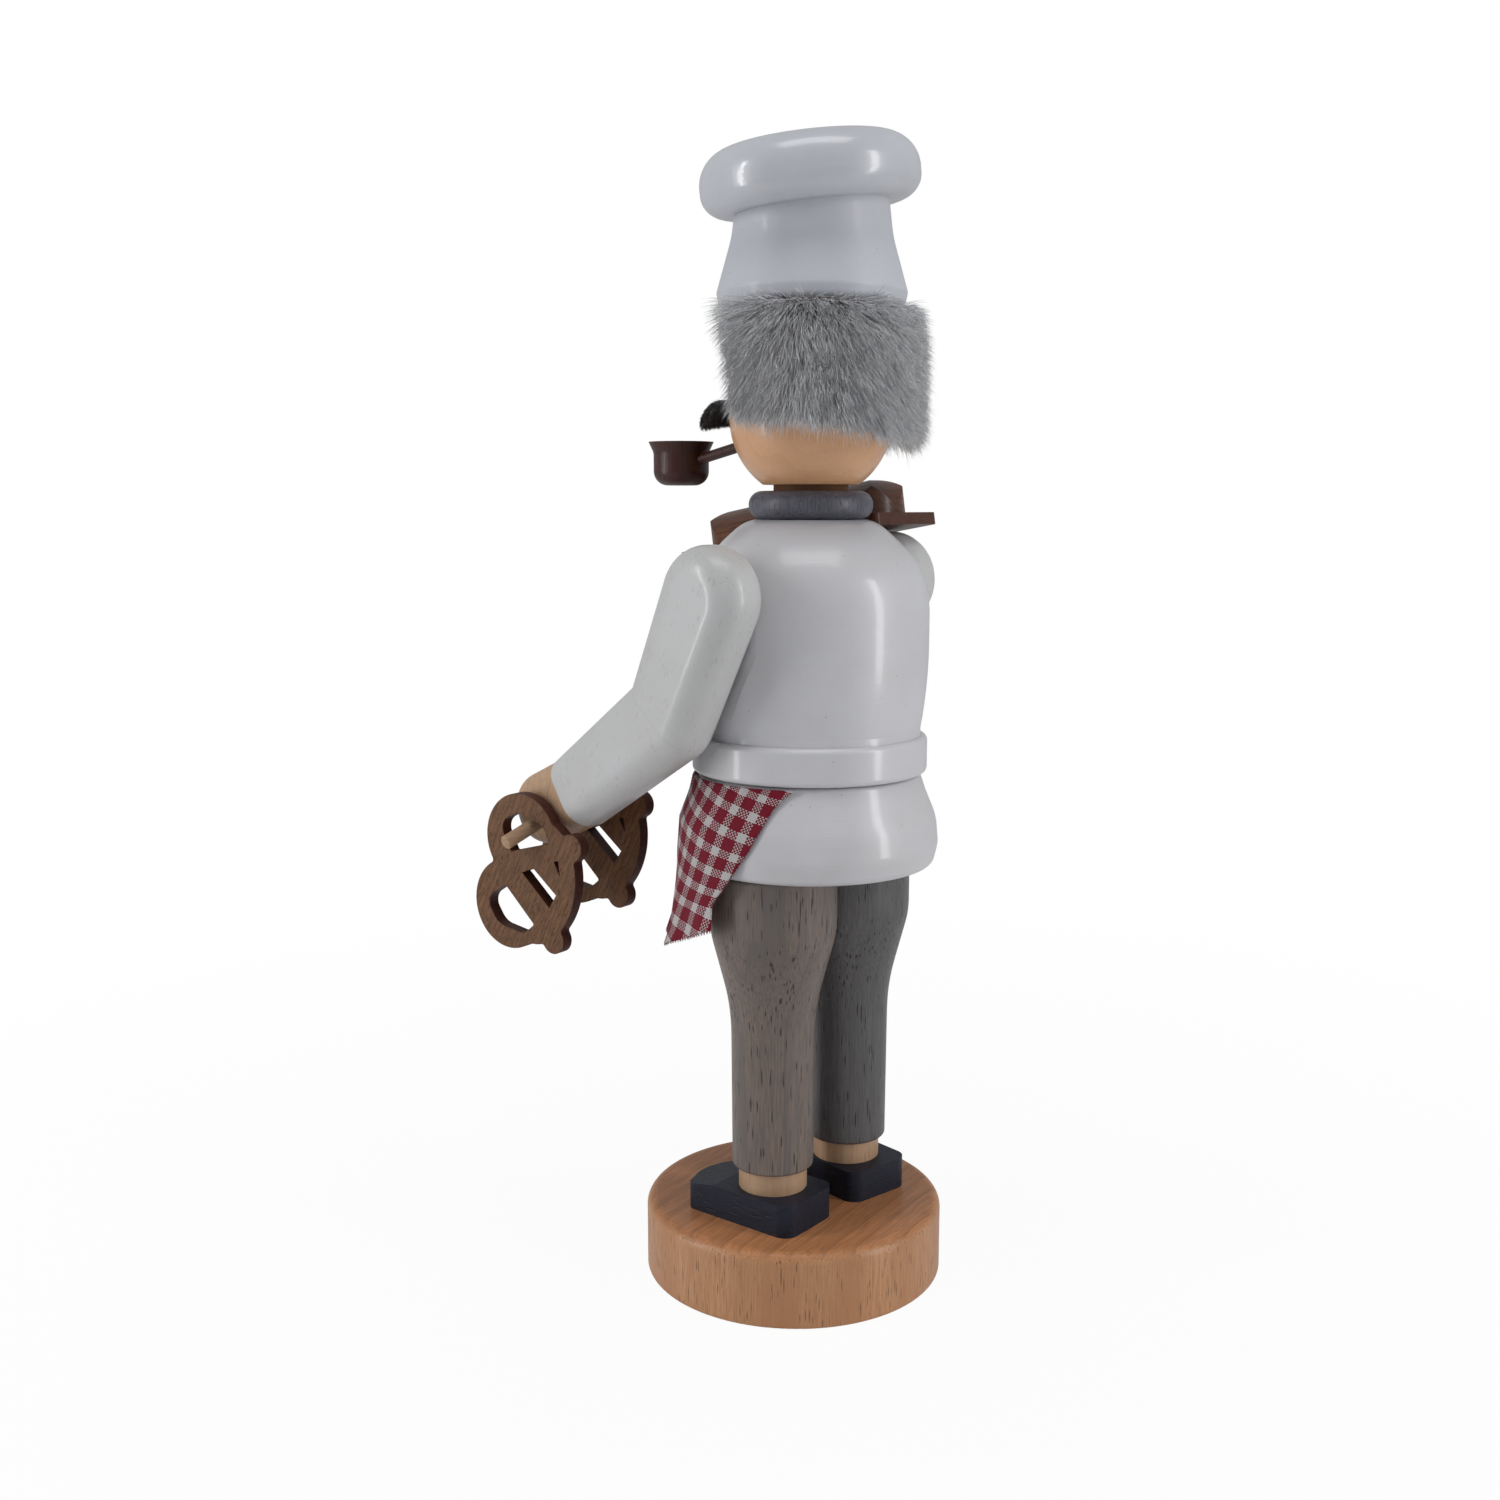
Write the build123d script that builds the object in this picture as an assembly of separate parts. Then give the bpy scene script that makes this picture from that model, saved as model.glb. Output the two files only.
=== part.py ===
from build123d import *
from math import asin, atan2, cos, degrees, pi, radians, sin, sqrt, tan
import os

# Smoking man: a turned wooden baker with a bread board on the right shoulder and two
# pretzels on a rod in the left hand. An incense cone burns on a plate inside the jacket,
# and its smoke leaves through the neck, the hollow head and the mouth.
# Millimetres. Origin: centre of the underside of the base. +Z up, the face looks to -Y,
# the figure's left side is +X.

# Driving sizes of the whole figure
BASE_R = 36.0
BASE_H = 18.0
BODY_Y = 4.5
SHOE_H = 7.6
ANKLE_SHOW = 5.3
LEG_LENGTH = 71.2
LEG_SPREAD = 13.35
LEG_FORWARD = -1.0
SKIRT_H = 21.5
TORSO_H = 58.2
COLLAR_H = 6.5
NECK_GAP = 1.4
HEAD_H = 41.5
HAT_BAND_H = 21.6
CROWN_H = 14.9

# Clearances, and one overrun for every cut
GLUE = 0.05
RUNNING = 0.07
AIR = 0.3
OVER = 1.0

# Heights that the stack of turned pieces gives
SHOE_TOP = BASE_H + SHOE_H
CUFF_Z = SHOE_TOP + ANKLE_SHOW
HEM_Z = CUFF_Z + LEG_LENGTH
WAIST_Z = HEM_Z + SKIRT_H
TORSO_Z = WAIST_Z + AIR
SEAT_Z = TORSO_Z + TORSO_H
COLLAR_TOP = SEAT_Z + COLLAR_H
HEAD_Z = COLLAR_TOP + NECK_GAP
HEAD_TOP = HEAD_Z + HEAD_H

# Base disc
BASE_ROUND = 2.6
BASE_FOOT_ROUND = 1.0
ANKLE_PEG_DEPTH = 10.0

# Shoes: a D-shaped block each, its toe cut down to a wedge
SHOE_W = 18.8
SHOE_OUTWARD = 0.6
SHOE_HEEL = 12.0
SHOE_TOE = 21.4
SHOE_HEEL_ROUND = 3.6
SHOE_TOE_ROUND = 3.0
SHOE_TIP_ROUND = 9.0
SHOE_TOE_POINT = 3.4
SHOE_SPLAY = 6.0
SHOE_CREASE = 10.2
SHOE_TOE_DROP = 2.0
SHOE_POCKET = 3.0

# Ankles: a turned dowel with a thin peg through the shoe into the base
ANKLE_R = 8.1
ANKLE_PEG_R = 3.5
ANKLE_SOCKET = 12.0
ANKLE_SOCKET_R = 4.0

# Trouser legs
LEG_CUFF_R = 9.6
LEG_CALF_R = 9.9
LEG_THIGH_R = 14.8
LEG_KNEE_SHARE = 0.54
LEG_THIGH_SHARE = 0.8
LEG_KNEE_Z = CUFF_Z + LEG_LENGTH * LEG_KNEE_SHARE
LEG_THIGH_Z = CUFF_Z + LEG_LENGTH * LEG_THIGH_SHARE
LEG_KNEE_BEND = 52.0
LEG_THIGH_BEND = 22.0
LEG_EDGE = 0.8
LEG_TENON_R = 5.0
LEG_TENON_H = 11.0

# Jacket skirt, the lower half of the jacket, with the spigot for the upper half
SKIRT_HEM_R = 29.2
SKIRT_BELLY_R = 30.4
SKIRT_BELLY_H = 5.0
SKIRT_SIDE_R = 29.9
SKIRT_SIDE_H = 11.0
SKIRT_SHOULDER_R = 27.3
SKIRT_SHOULDER_H = 17.4
SKIRT_TOP_R = 25.9
SKIRT_HEM_ROUND = 2.2
SKIRT_SIDE_BEND = 14.0
SKIRT_TOP_ROUND = 1.4
SPIGOT_R = 20.5
SPIGOT_H = 8.4
SPIGOT_WALL = 3.6
SPIGOT_EDGE = 0.8
WELL_FLOOR = 1.2
AIR_HOLE_R = 2.4
AIR_HOLE_SPREAD = 11.6

# Incense plate and its tack
PLATE_R = 14.4
PLATE_T = 0.5
PLATE_RIM_H = 1.8
PLATE_LIFT = 1.4
BOSS_R = 4.0
TACK_HEAD_R = 2.0
TACK_HEAD_H = 0.9
TACK_SHANK_R = 0.7
TACK_LENGTH = 6.0

# Apron, a cloth tucked under the waist band, each side edge slanting forward
APRON_T = 0.6
APRON_GAP = 0.12
APRON_TOP_DROP = 1.2
APRON_DROP = 39.0
APRON_HEM_R = 33.0
APRON_CORNER_DROP = 5.6
APRON_CORNER_Z = HEM_Z - APRON_CORNER_DROP
APRON_TOP_TURN = 124.0
APRON_SHOULDER_TURN = 118.0
APRON_BELLY_TURN = 101.0
APRON_MIDDLE_TURN = 109.0
APRON_CORNER_TURN = 88.0
APRON_HEM_RISE = 21.0
APRON_HEM_FRONT = 18.0
APRON_FOLD = 0.8
APRON_FOLDS = 9

# Torso, the upper half of the jacket, turned hollow
BAND_R = 27.5
BAND_H = 8.7
BAND_ROUND = 1.3
TORSO_WAIST_R = 25.9
TORSO_WAIST_H = 10.4
TORSO_CHEST_R = 27.6
TORSO_CHEST_H = 30.0
TORSO_DOME_H = 36.2
TORSO_DOME_RISE = 22.4
TORSO_DOME_FLAT_R = 8.0
DOME_STEPS = 3
CHAMBER_R = 18.5
CHAMBER_TOP = 39.0
CHAMBER_ROUND = 9.0
SOCKET_H = 10.0
ARM_SEAT_X = 26.5

# Collar and neck
COLLAR_R = 14.3
COLLAR_ROUND = 3.1
NECK_R = 8.6
NECK_BORE_R = 5.6
NECK_DOWN = 9.0
NECK_UP = 5.0

# Head
HEAD_R = 18.7
HEAD_CROWN_R = 17.0
HEAD_BALL_H = 15.1
HEAD_BORE_R = 9.5
HEAD_BORE_H = 22.0
HEAD_BORE_ROUND = 5.0
MOUTH_R = 3.1
MOUTH_H = 10.6
MOUTH_DISH = 0.9

# Face
NOSE_R = 2.9
NOSE_H = 21.0
NOSE_PEG_R = 1.2
NOSE_PEG = 4.0
NOSE_OUT_SHARE = 0.45
EYE_R = 1.6
EYE_H = 25.5
EYE_TURN = 21.0
EYE_PEG = 3.0
BROW_H = 29.6
BROW_TURN = 21.0
BROW_W = 7.0
BROW_T = 2.0
BROW_ROUND = 0.66
BROW_STAND = 1.6
BROW_ARCH_SHARE = 1.5
TACHE_H = 16.0
TACHE_ROOT_X = 1.2
TACHE_ROOT_R = 1.9
TACHE_MID_X = 7.0
TACHE_MID_R = 2.7
TACHE_MID_RISE = 0.9
TACHE_TIP_X = 13.2
TACHE_TIP_R = 0.45
TACHE_TIP_DROP = 2.6
TACHE_MID_STAND = 3.1

# Hair, a strip of fur round the back of the head
HAIR_UP = 10.6
HAIR_TOP_DROP = 2.6
HAIR_Z = HEAD_Z + HAIR_UP
HAIR_TOP_Z = HEAD_TOP - HAIR_TOP_DROP
HAIR_LOW_R = 26.6
HAIR_MID_R = 26.2
HAIR_HIGH_R = 22.6
HAIR_TURN = 216.0
HAIR_ROUND = 1.6
HAIR_T = 5.4

# Baker's hat
HAT_OVERLAP = 2.0
HAT_Z = HEAD_TOP - HAT_OVERLAP
HAT_LIP_R = 20.9
HAT_BELLY_R = 21.6
HAT_BELLY_H = 3.0
HAT_WAIST_R = 18.2
HAT_WAIST_H = 15.0
HAT_TOP_R = 17.4
HAT_LIP_ROUND = 1.6
HAT_BEND = 24.0
CROWN_R = 24.8
CROWN_TILT = 6.5
CROWN_TILT_TURN = -22.0
CROWN_LOW_ROUND = 5.0
CROWN_SIDE_ROUND = 7.8
CROWN_TOP_RISE = 1.2
HAT_DOWEL_R = 4.0
HAT_DOWEL_UP = 14.0
HAT_DOWEL_DOWN = 8.0

# Arms: flat sticks with rounded edges, cut and glued to a mitre at the elbow
ARM_T = 14.4
ARM_EDGE = 6.3
CAP_FLAT = 0.5
CAP_BULGE = CAP_FLAT * (sqrt(2) - 1)
LEFT_SHOULDER_UP = 41.0
RIGHT_SHOULDER_UP = 42.9
LEFT_SHOULDER_Z = TORSO_Z + LEFT_SHOULDER_UP
RIGHT_SHOULDER_Z = TORSO_Z + RIGHT_SHOULDER_UP
SHOULDER_W = 24.2
ELBOW_W = 21.4
CUFF_W = 18.3
LEFT_UPPER_ARM = 29.2
RIGHT_UPPER_ARM = 31.6
ELBOW_ROUND = 10.0
ELBOW_CROOK_ROUND = 1.2
LEFT_SHOULDER_Y = 1.1
LEFT_LEAN = 25.5
LEFT_FOREARM = 38.0
LEFT_FALL = -33.5
RIGHT_SHOULDER_Y = -4.0
RIGHT_LEAN = 32.0
RIGHT_FOREARM = 24.0
DOWEL_R = 2.5
SHOULDER_DOWEL_IN = 5.0
SHOULDER_DOWEL_OUT = 7.0
ELBOW_DOWEL = 9.0
WRIST_DOWEL = 6.0

# Hands: mitten shaped knobs
HAND_W = 17.6
HAND_T = 13.4
HAND_EDGE = 5.6
HAND_REACH = 20.8
HAND_BEND = 9.0

# Pretzel rod
ROD_R = 1.7
ROD_SLOPE = 20.0
ROD_OUT = 18.6
ROD_IN = 16.6
ROD_EDGE = 0.3
ROD_AHEAD = 8.6

# Pretzels, sawn from a flat board; shares are of the length from notch to belly
PRETZEL_T = 3.0
PRETZEL_YAW = 9.0
PRETZEL_BELLY = 24.5
PRETZEL_BELLY_DEEP = 23.2
PRETZEL_BELLY_WIDE = 31.0
PRETZEL_LOBE_R = 11.0
PRETZEL_LOBE_X = 5.5
PRETZEL_LOBE_Y = 8.5
PRETZEL_KNOB_R = 3.3
PRETZEL_KNOB_X = 20.7
PRETZEL_KNOB_Y = 11.9
PRETZEL_HANG_X = 6.6
PRETZEL_EYE_TOP = 14.4
PRETZEL_EYE_SHARES = (
    (0.131, 0.178, 0.02),
    (0.58, 0.429, 0.02),
    (0.473, 0.571, 0.12),
    (0.131, 0.6, 0.2),
    (-0.082, 0.408, 0.12),
)
PRETZEL_GAP_SHARES = ((0.314, 0.024), (0.445, 0.118), (0.78, -0.033), (0.727, -0.188))
PRETZEL_SLIT_SHARES = ((0.678, 0.282), (0.727, 0.31), (0.784, 0.167))
PRETZEL_NOTCH_ROUND = 0.9
PRETZEL_OUTER_GAP = 1.1
PRETZEL_INNER_GAP = 2.2

# Bread board and loaf
BOARD_T = 2.9
BOARD_W = 23.6
BOARD_L = 68.0
BOARD_INNER_X = 17.7
BOARD_SLOPE = 9.2
BOARD_BEHIND = 11.3
BOARD_ROUND = 1.6
LOAF_L = 60.0
LOAF_W = 18.6
LOAF_H = 9.4
LOAF_END = 7.4
LOAF_FOOT = 2.0
LOAF_SPLIT = 0.9
LOAF_SPLIT_L = 44.0
LOAF_BACK = 3.0
PIN_R = 1.2
PIN_UP = 2.0
PIN_DOWN = 6.0

# Pipe
BOWL_LIP_R = 7.9
BOWL_R = 6.7
BOWL_H = 10.4
BOWL_LIP_H = 2.6
BOWL_FOOT_ROUND = 3.4
BOWL_CUP_R = 5.2
BOWL_CUP_DEPTH = 7.0
BOWL_CUP_ROUND = 2.0
PIPE_X = 5.2
PIPE_REACH = 21.0
PIPE_RISE = 11.5
STEM_R = 1.25
STEM_IN_HEAD = 3.0
STEM_IN_BOWL = 1.0
STEM_DROP = 5.6

# Jacket buttons
BUTTON_R = 1.7
BUTTON_T = 1.0
BUTTON_PEG_R = 0.7
BUTTON_PEG = 3.0
BUTTON_COUNT = 4
BUTTON_FIRST_H = 16.0
BUTTON_STEP = 7.0


def rounded(corners):
    """Face inside a closed outline of (x, y) or (x, y, round) corners."""
    points = [Vector(c[0], c[1]) for c in corners]
    rounds = [c[2] if len(c) > 2 else 0 for c in corners]
    ends = []
    for i, here in enumerate(points):
        back = (points[i - 1] - here).normalized()
        ahead = (points[(i + 1) % len(points)] - here).normalized()
        if rounds[i] == 0:
            ends.append((here, here, here))
            continue
        half = radians(back.get_angle(ahead)) / 2
        reach = rounds[i] / tan(half)
        middle = (back + ahead).normalized()
        bulge = rounds[i] / sin(half) - rounds[i]
        ends.append((here + back * reach, here + middle * bulge, here + ahead * reach))
    edges = []
    for i, (first, middle, last) in enumerate(ends):
        if rounds[i]:
            edges.append(ThreePointArc(first, middle, last))
        following = ends[(i + 1) % len(ends)][0]
        if (following - last).length > GLUE / 10:
            edges.append(Line(last, following))
    return make_face(edges)


def turned(corners):
    """Body of revolution about Z from (radius, height, round) corners."""
    return revolve(Plane.XZ * rounded(corners), Axis.Z)


def rod(start, end, radius):
    """Straight cylinder from one point to another."""
    run = Vector(*end) - Vector(*start)
    place = Plane(origin=start, z_dir=run.normalized())
    return extrude(place * Circle(radius), run.length)


def on_body(shape):
    """Move a piece turned about Z onto the figure's own axis."""
    return Pos(0, BODY_Y, 0) * shape


def head_radius(height):
    """Outer radius of the head at a height above its flat underside."""
    rise = height - HEAD_BALL_H
    if rise > 0:
        return HEAD_R
    return sqrt(HEAD_R ** 2 - rise ** 2)


def legs_and_feet(parts):
    for side, name in ((1, "left"), (-1, "right")):
        x = side * LEG_SPREAD
        y = BODY_Y - LEG_FORWARD
        crease = -SHOE_CREASE
        half = SHOE_W / 2
        inner = (SHOE_OUTWARD - half) * side
        outer = (SHOE_OUTWARD + half) * side
        toe_corner = -SHOE_TOE + SHOE_TOE_POINT
        sole = rounded([
            (inner, SHOE_HEEL, SHOE_HEEL_ROUND),
            (inner, toe_corner, SHOE_TIP_ROUND),
            (SHOE_OUTWARD * side, -SHOE_TOE, SHOE_TIP_ROUND),
            (outer, toe_corner, SHOE_TOE_ROUND),
            (outer, SHOE_HEEL, SHOE_HEEL_ROUND),
        ])
        shoe = extrude(sole, SHOE_H)
        wedge = Plane.YZ * rounded([
            (crease, SHOE_H),
            (crease, SHOE_H + OVER),
            (-SHOE_TOE - OVER, SHOE_H + OVER),
            (-SHOE_TOE - OVER, SHOE_H - SHOE_TOE_DROP),
        ])
        shoe -= extrude(wedge, SHOE_W, both=True)
        shoe = Rot(0, 0, side * SHOE_SPLAY) * shoe
        pocket = SHOE_H - SHOE_POCKET
        shoe -= Pos(0, 0, pocket) * extrude(Circle(ANKLE_R + GLUE), SHOE_POCKET + OVER)
        shoe -= extrude(Circle(ANKLE_PEG_R + GLUE), SHOE_H)
        parts["shoe_" + name] = Pos(x, y, BASE_H) * shoe

        bottom = BASE_H - ANKLE_PEG_DEPTH
        ankle = turned([
            (0, bottom),
            (ANKLE_PEG_R, bottom),
            (ANKLE_PEG_R, BASE_H + pocket),
            (ANKLE_R, BASE_H + pocket),
            (ANKLE_R, CUFF_Z),
            (ANKLE_SOCKET_R, CUFF_Z),
            (ANKLE_SOCKET_R, CUFF_Z + ANKLE_SOCKET),
            (0, CUFF_Z + ANKLE_SOCKET),
        ])
        parts["ankle_" + name] = Pos(x, y, 0) * ankle

        leg = turned([
            (0, CUFF_Z),
            (LEG_CUFF_R, CUFF_Z, LEG_EDGE),
            (LEG_CALF_R, LEG_KNEE_Z, LEG_KNEE_BEND),
            (LEG_THIGH_R, LEG_THIGH_Z, LEG_THIGH_BEND),
            (LEG_THIGH_R, HEM_Z, LEG_EDGE),
            (LEG_TENON_R, HEM_Z),
            (LEG_TENON_R, HEM_Z + LEG_TENON_H),
            (0, HEM_Z + LEG_TENON_H),
        ])
        socket = Circle(ANKLE_SOCKET_R + GLUE)
        leg -= Pos(0, 0, CUFF_Z - OVER) * extrude(socket, ANKLE_SOCKET + OVER + GLUE)
        # the thighs are planed flat where they meet in the middle
        flat = Plane(origin=(side * (GLUE / 2 - LEG_SPREAD), 0, 0), z_dir=(1, 0, 0))
        leg = split(leg, bisect_by=flat, keep=Keep.TOP if side > 0 else Keep.BOTTOM)
        parts["leg_" + name] = Pos(x, y, 0) * leg


def base_disc():
    disc = turned([
        (0, 0),
        (BASE_R, 0, BASE_FOOT_ROUND),
        (BASE_R, BASE_H, BASE_ROUND),
        (0, BASE_H),
    ])
    for side in (1, -1):
        hole = extrude(Circle(ANKLE_PEG_R + GLUE), ANKLE_PEG_DEPTH + GLUE + OVER)
        place = Pos(side * LEG_SPREAD, BODY_Y - LEG_FORWARD, BASE_H - ANKLE_PEG_DEPTH - GLUE)
        disc -= place * hole
    return disc


def jacket_skirt():
    floor = WAIST_Z + WELL_FLOOR
    skirt = turned([
        (0, HEM_Z),
        (SKIRT_HEM_R, HEM_Z, SKIRT_HEM_ROUND),
        (SKIRT_BELLY_R, HEM_Z + SKIRT_BELLY_H, SKIRT_SIDE_BEND / 2),
        (SKIRT_SIDE_R, HEM_Z + SKIRT_SIDE_H, SKIRT_SIDE_BEND),
        (SKIRT_SHOULDER_R, HEM_Z + SKIRT_SHOULDER_H, SKIRT_TOP_ROUND),
        (SKIRT_TOP_R, WAIST_Z, SKIRT_TOP_ROUND),
        (SPIGOT_R, WAIST_Z),
        (SPIGOT_R, WAIST_Z + SPIGOT_H, SPIGOT_EDGE),
        (SPIGOT_R - SPIGOT_WALL, WAIST_Z + SPIGOT_H, SPIGOT_EDGE),
        (SPIGOT_R - SPIGOT_WALL, floor, SPIGOT_EDGE),
        (0, floor),
    ])
    for side in (1, -1):
        socket = extrude(Circle(LEG_TENON_R + GLUE), LEG_TENON_H + OVER + GLUE)
        skirt -= Pos(side * LEG_SPREAD, -LEG_FORWARD, HEM_Z - OVER) * socket
        draught = extrude(Circle(AIR_HOLE_R), SKIRT_H + SPIGOT_H)
        skirt -= Pos(0, side * AIR_HOLE_SPREAD, HEM_Z - OVER) * draught
    skirt += Pos(0, 0, floor) * extrude(Circle(BOSS_R), PLATE_LIFT)
    depth = TACK_LENGTH + GLUE
    tack_hole = extrude(Circle(TACK_SHANK_R + GLUE), depth)
    skirt -= Pos(0, 0, floor + PLATE_LIFT - depth) * tack_hole
    return on_body(skirt)


def incense_plate():
    low = WAIST_Z + WELL_FLOOR + PLATE_LIFT
    plate = turned([
        (TACK_SHANK_R + GLUE, low),
        (PLATE_R, low, PLATE_T * 2),
        (PLATE_R, low + PLATE_RIM_H),
        (PLATE_R - PLATE_T, low + PLATE_RIM_H),
        (PLATE_R - PLATE_T, low + PLATE_T, PLATE_T),
        (TACK_SHANK_R + GLUE, low + PLATE_T),
    ])
    return on_body(plate)


def plate_tack():
    seat = WAIST_Z + WELL_FLOOR + PLATE_LIFT + PLATE_T
    tack = turned([
        (0, seat - TACK_LENGTH),
        (TACK_SHANK_R, seat - TACK_LENGTH + TACK_SHANK_R),
        (TACK_SHANK_R, seat),
        (TACK_HEAD_R, seat),
        (TACK_HEAD_R, seat + TACK_HEAD_H, TACK_HEAD_H / 2),
        (0, seat + TACK_HEAD_H),
    ])
    return on_body(tack)


def apron_ring(height, inner_r, fold, turn):
    """Thin band of the apron at one height; its folds swing in and out as arcs."""
    steps = 2 * APRON_FOLDS
    edges = []
    rows = []
    for radius in (inner_r + APRON_T, inner_r):
        row = []
        for i in range(2 * steps + 1):
            angle = radians(-90 - turn + turn * i / steps)
            wave = fold * (i % 2) * (1 - i % 4)
            row.append(Vector((radius + wave) * cos(angle), (radius + wave) * sin(angle), height))
        for i in range(0, 2 * steps, 2):
            edges.append(ThreePointArc(row[i], row[i + 1], row[i + 2]))
        rows.append(row)
    edges.append(Line(rows[0][0], rows[1][0]))
    edges.append(Line(rows[0][-1], rows[1][-1]))
    return make_face(edges)


def apron():
    hem = WAIST_Z - APRON_DROP
    snug = SKIRT_BELLY_R + APRON_GAP
    cloth = loft([
        apron_ring(hem, APRON_HEM_R, APRON_FOLD, APRON_CORNER_TURN),
        apron_ring(APRON_CORNER_Z, (APRON_HEM_R + snug) / 2, APRON_FOLD / 2, APRON_CORNER_TURN),
        apron_ring(HEM_Z + SKIRT_BELLY_H, snug, 0, APRON_BELLY_TURN),
        apron_ring(HEM_Z + SKIRT_SIDE_H, SKIRT_SIDE_R + APRON_GAP, 0, APRON_MIDDLE_TURN),
        apron_ring(HEM_Z + SKIRT_SHOULDER_H, SKIRT_SHOULDER_R + APRON_GAP, 0, APRON_SHOULDER_TURN),
        apron_ring(WAIST_Z - APRON_TOP_DROP, SKIRT_TOP_R + SKIRT_TOP_ROUND / 2, 0, APRON_TOP_TURN),
    ], ruled=True)
    # the hem rises towards the sides, as a pulled-back cloth hangs
    slope = radians(APRON_HEM_RISE)
    cut = Plane(origin=(0, -APRON_HEM_FRONT, hem), z_dir=(0, -sin(slope), cos(slope)))
    return on_body(split(cloth, bisect_by=cut, keep=Keep.TOP))


def line_meet(a, along_a, b, along_b):
    """Point where two lines of one plane cross."""
    cross = along_a.X * along_b.Y - along_a.Y * along_b.X
    gap = b - a
    reach = (gap.X * along_b.Y - gap.Y * along_b.X) / cross
    return a + along_a * reach


def heading(angle):
    """Direction in an arm's plane: 0 looks forward, 90 looks up."""
    return Vector(-cos(radians(angle)), sin(radians(angle)))


class Arm:
    """One bent arm, drawn in its own flat plane from the centre of its shoulder."""

    def __init__(self, side, shoulder_y, shoulder_z, lean, upper, forearm, swing):
        self.side = side
        self.lean = lean - 90
        self.swing = swing
        self.origin = Vector(side * (ARM_SEAT_X + ARM_T / 2), BODY_Y + shoulder_y, shoulder_z)
        self.elbow = heading(self.lean) * upper
        self.cuff = self.elbow + heading(swing) * forearm
        self.palm = self.cuff + heading(swing + HAND_BEND) * (HAND_REACH - HAND_W / 2)
        self.forward = Vector(0, heading(swing).X, heading(swing).Y)
        mitre = heading(self.lean) + heading(swing)
        self.mitre = Vector(0, mitre.X, mitre.Y).normalized()

    def place(self, point):
        return self.origin + Vector(0, point.X, point.Y)

    def stick(self, grow=0):
        """The whole arm before it is sawn, made wider all round by grow."""
        crook_side = heading(self.lean + 90) * (1 if self.swing > self.lean else -1)
        lift = heading(self.swing + 90) * (1 if self.swing > self.lean else -1)
        cap = heading(self.lean) * (-SHOULDER_W / 2 - grow)
        wide, middle, narrow = (w / 2 + grow for w in (SHOULDER_W, ELBOW_W, CUFF_W))
        run_on = heading(self.swing) * OVER
        bends = []
        for s in (1, -1):
            side_a = crook_side * (s * wide)
            side_b = self.elbow + crook_side * (s * middle)
            fore_a = self.elbow + lift * (s * middle)
            fore_b = self.cuff + lift * (s * narrow)
            corner = line_meet(side_a, side_b - side_a, fore_a, fore_b - fore_a)
            bends.append((side_a + cap, corner, fore_b + run_on))
        (crook_top, crook, crook_end), (back_top, back, back_end) = bends
        cap_round = wide - CAP_FLAT
        face = rounded([
            (crook_top.X, crook_top.Y, cap_round),
            (crook.X, crook.Y, ELBOW_CROOK_ROUND),
            (crook_end.X, crook_end.Y),
            (back_end.X, back_end.Y),
            (back.X, back.Y, ELBOW_ROUND),
            (back_top.X, back_top.Y, cap_round),
        ])
        stick = extrude(Plane.YZ * face, ARM_T / 2, both=True)
        if grow == 0:
            # the edges round off along their length, and run out over the sawn cuff
            end = self.cuff + run_on
            rims = []
            for edge in stick.faces().filter_by(Axis.X).edges():
                middle_of = edge.center()
                if (Vector(middle_of.Y, middle_of.Z) - end).length > CAP_FLAT:
                    rims.append(edge)
            stick = fillet(rims, ARM_EDGE)
        return Pos(*self.origin) * stick

    def dowel(self, centre, direction, back, ahead, radius):
        start = centre - direction * back
        return rod(start, centre + direction * ahead, radius)

    def shoulder_dowel(self, radius, extra=0):
        seat = Vector(self.side * ARM_SEAT_X, self.origin.Y, self.origin.Z)
        out = Vector(self.side, 0, 0)
        return self.dowel(seat, out, SHOULDER_DOWEL_IN + extra, SHOULDER_DOWEL_OUT + extra, radius)

    def elbow_dowel(self, radius, extra=0):
        reach = ELBOW_DOWEL + extra
        return self.dowel(self.place(self.elbow), self.mitre, reach, reach, radius)

    def wrist_dowel(self, radius, extra=0):
        reach = WRIST_DOWEL + extra
        return self.dowel(self.place(self.cuff), self.forward, reach, reach, radius)

    def halves(self):
        """Upper arm and forearm, sawn square at the cuff and along the mitre."""
        stick = self.stick()
        saw = Plane(origin=self.place(self.cuff), z_dir=self.forward)
        stick = split(stick, bisect_by=saw, keep=Keep.BOTTOM)
        bore = DOWEL_R + GLUE
        holes = self.shoulder_dowel(bore, GLUE) + self.elbow_dowel(bore, GLUE)
        stick -= holes + self.wrist_dowel(bore, GLUE)
        saw = Plane(origin=self.place(self.elbow), z_dir=self.mitre)
        return (
            split(stick, bisect_by=saw, keep=Keep.BOTTOM),
            split(stick, bisect_by=saw, keep=Keep.TOP),
        )

    def hand(self):
        """Mitten knob, bent up at the wrist, whose sawn root stands on the cuff."""
        half = HAND_W / 2
        face = rounded([
            (-half, -half),
            (HAND_REACH, -half, half - CAP_FLAT),
            (HAND_REACH, half, half - CAP_FLAT),
            (-half, half),
        ])
        knob = extrude(face, HAND_T / 2, both=True)
        rims = [e for e in knob.faces().filter_by(Axis.Z).edges() if e.center().X > CAP_FLAT - half]
        knob = fillet(rims, HAND_EDGE)
        knob = Rot(0, 0, -HAND_BEND) * knob
        knob = split(knob, bisect_by=Plane.YZ, keep=Keep.TOP)
        place = Plane(origin=self.place(self.cuff), x_dir=self.forward, z_dir=(1, 0, 0))
        return place.location * knob - self.wrist_dowel(DOWEL_R + GLUE, GLUE)


LEFT_ARM = Arm(
    1, LEFT_SHOULDER_Y, LEFT_SHOULDER_Z, LEFT_LEAN, LEFT_UPPER_ARM, LEFT_FOREARM, LEFT_FALL
)


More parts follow.
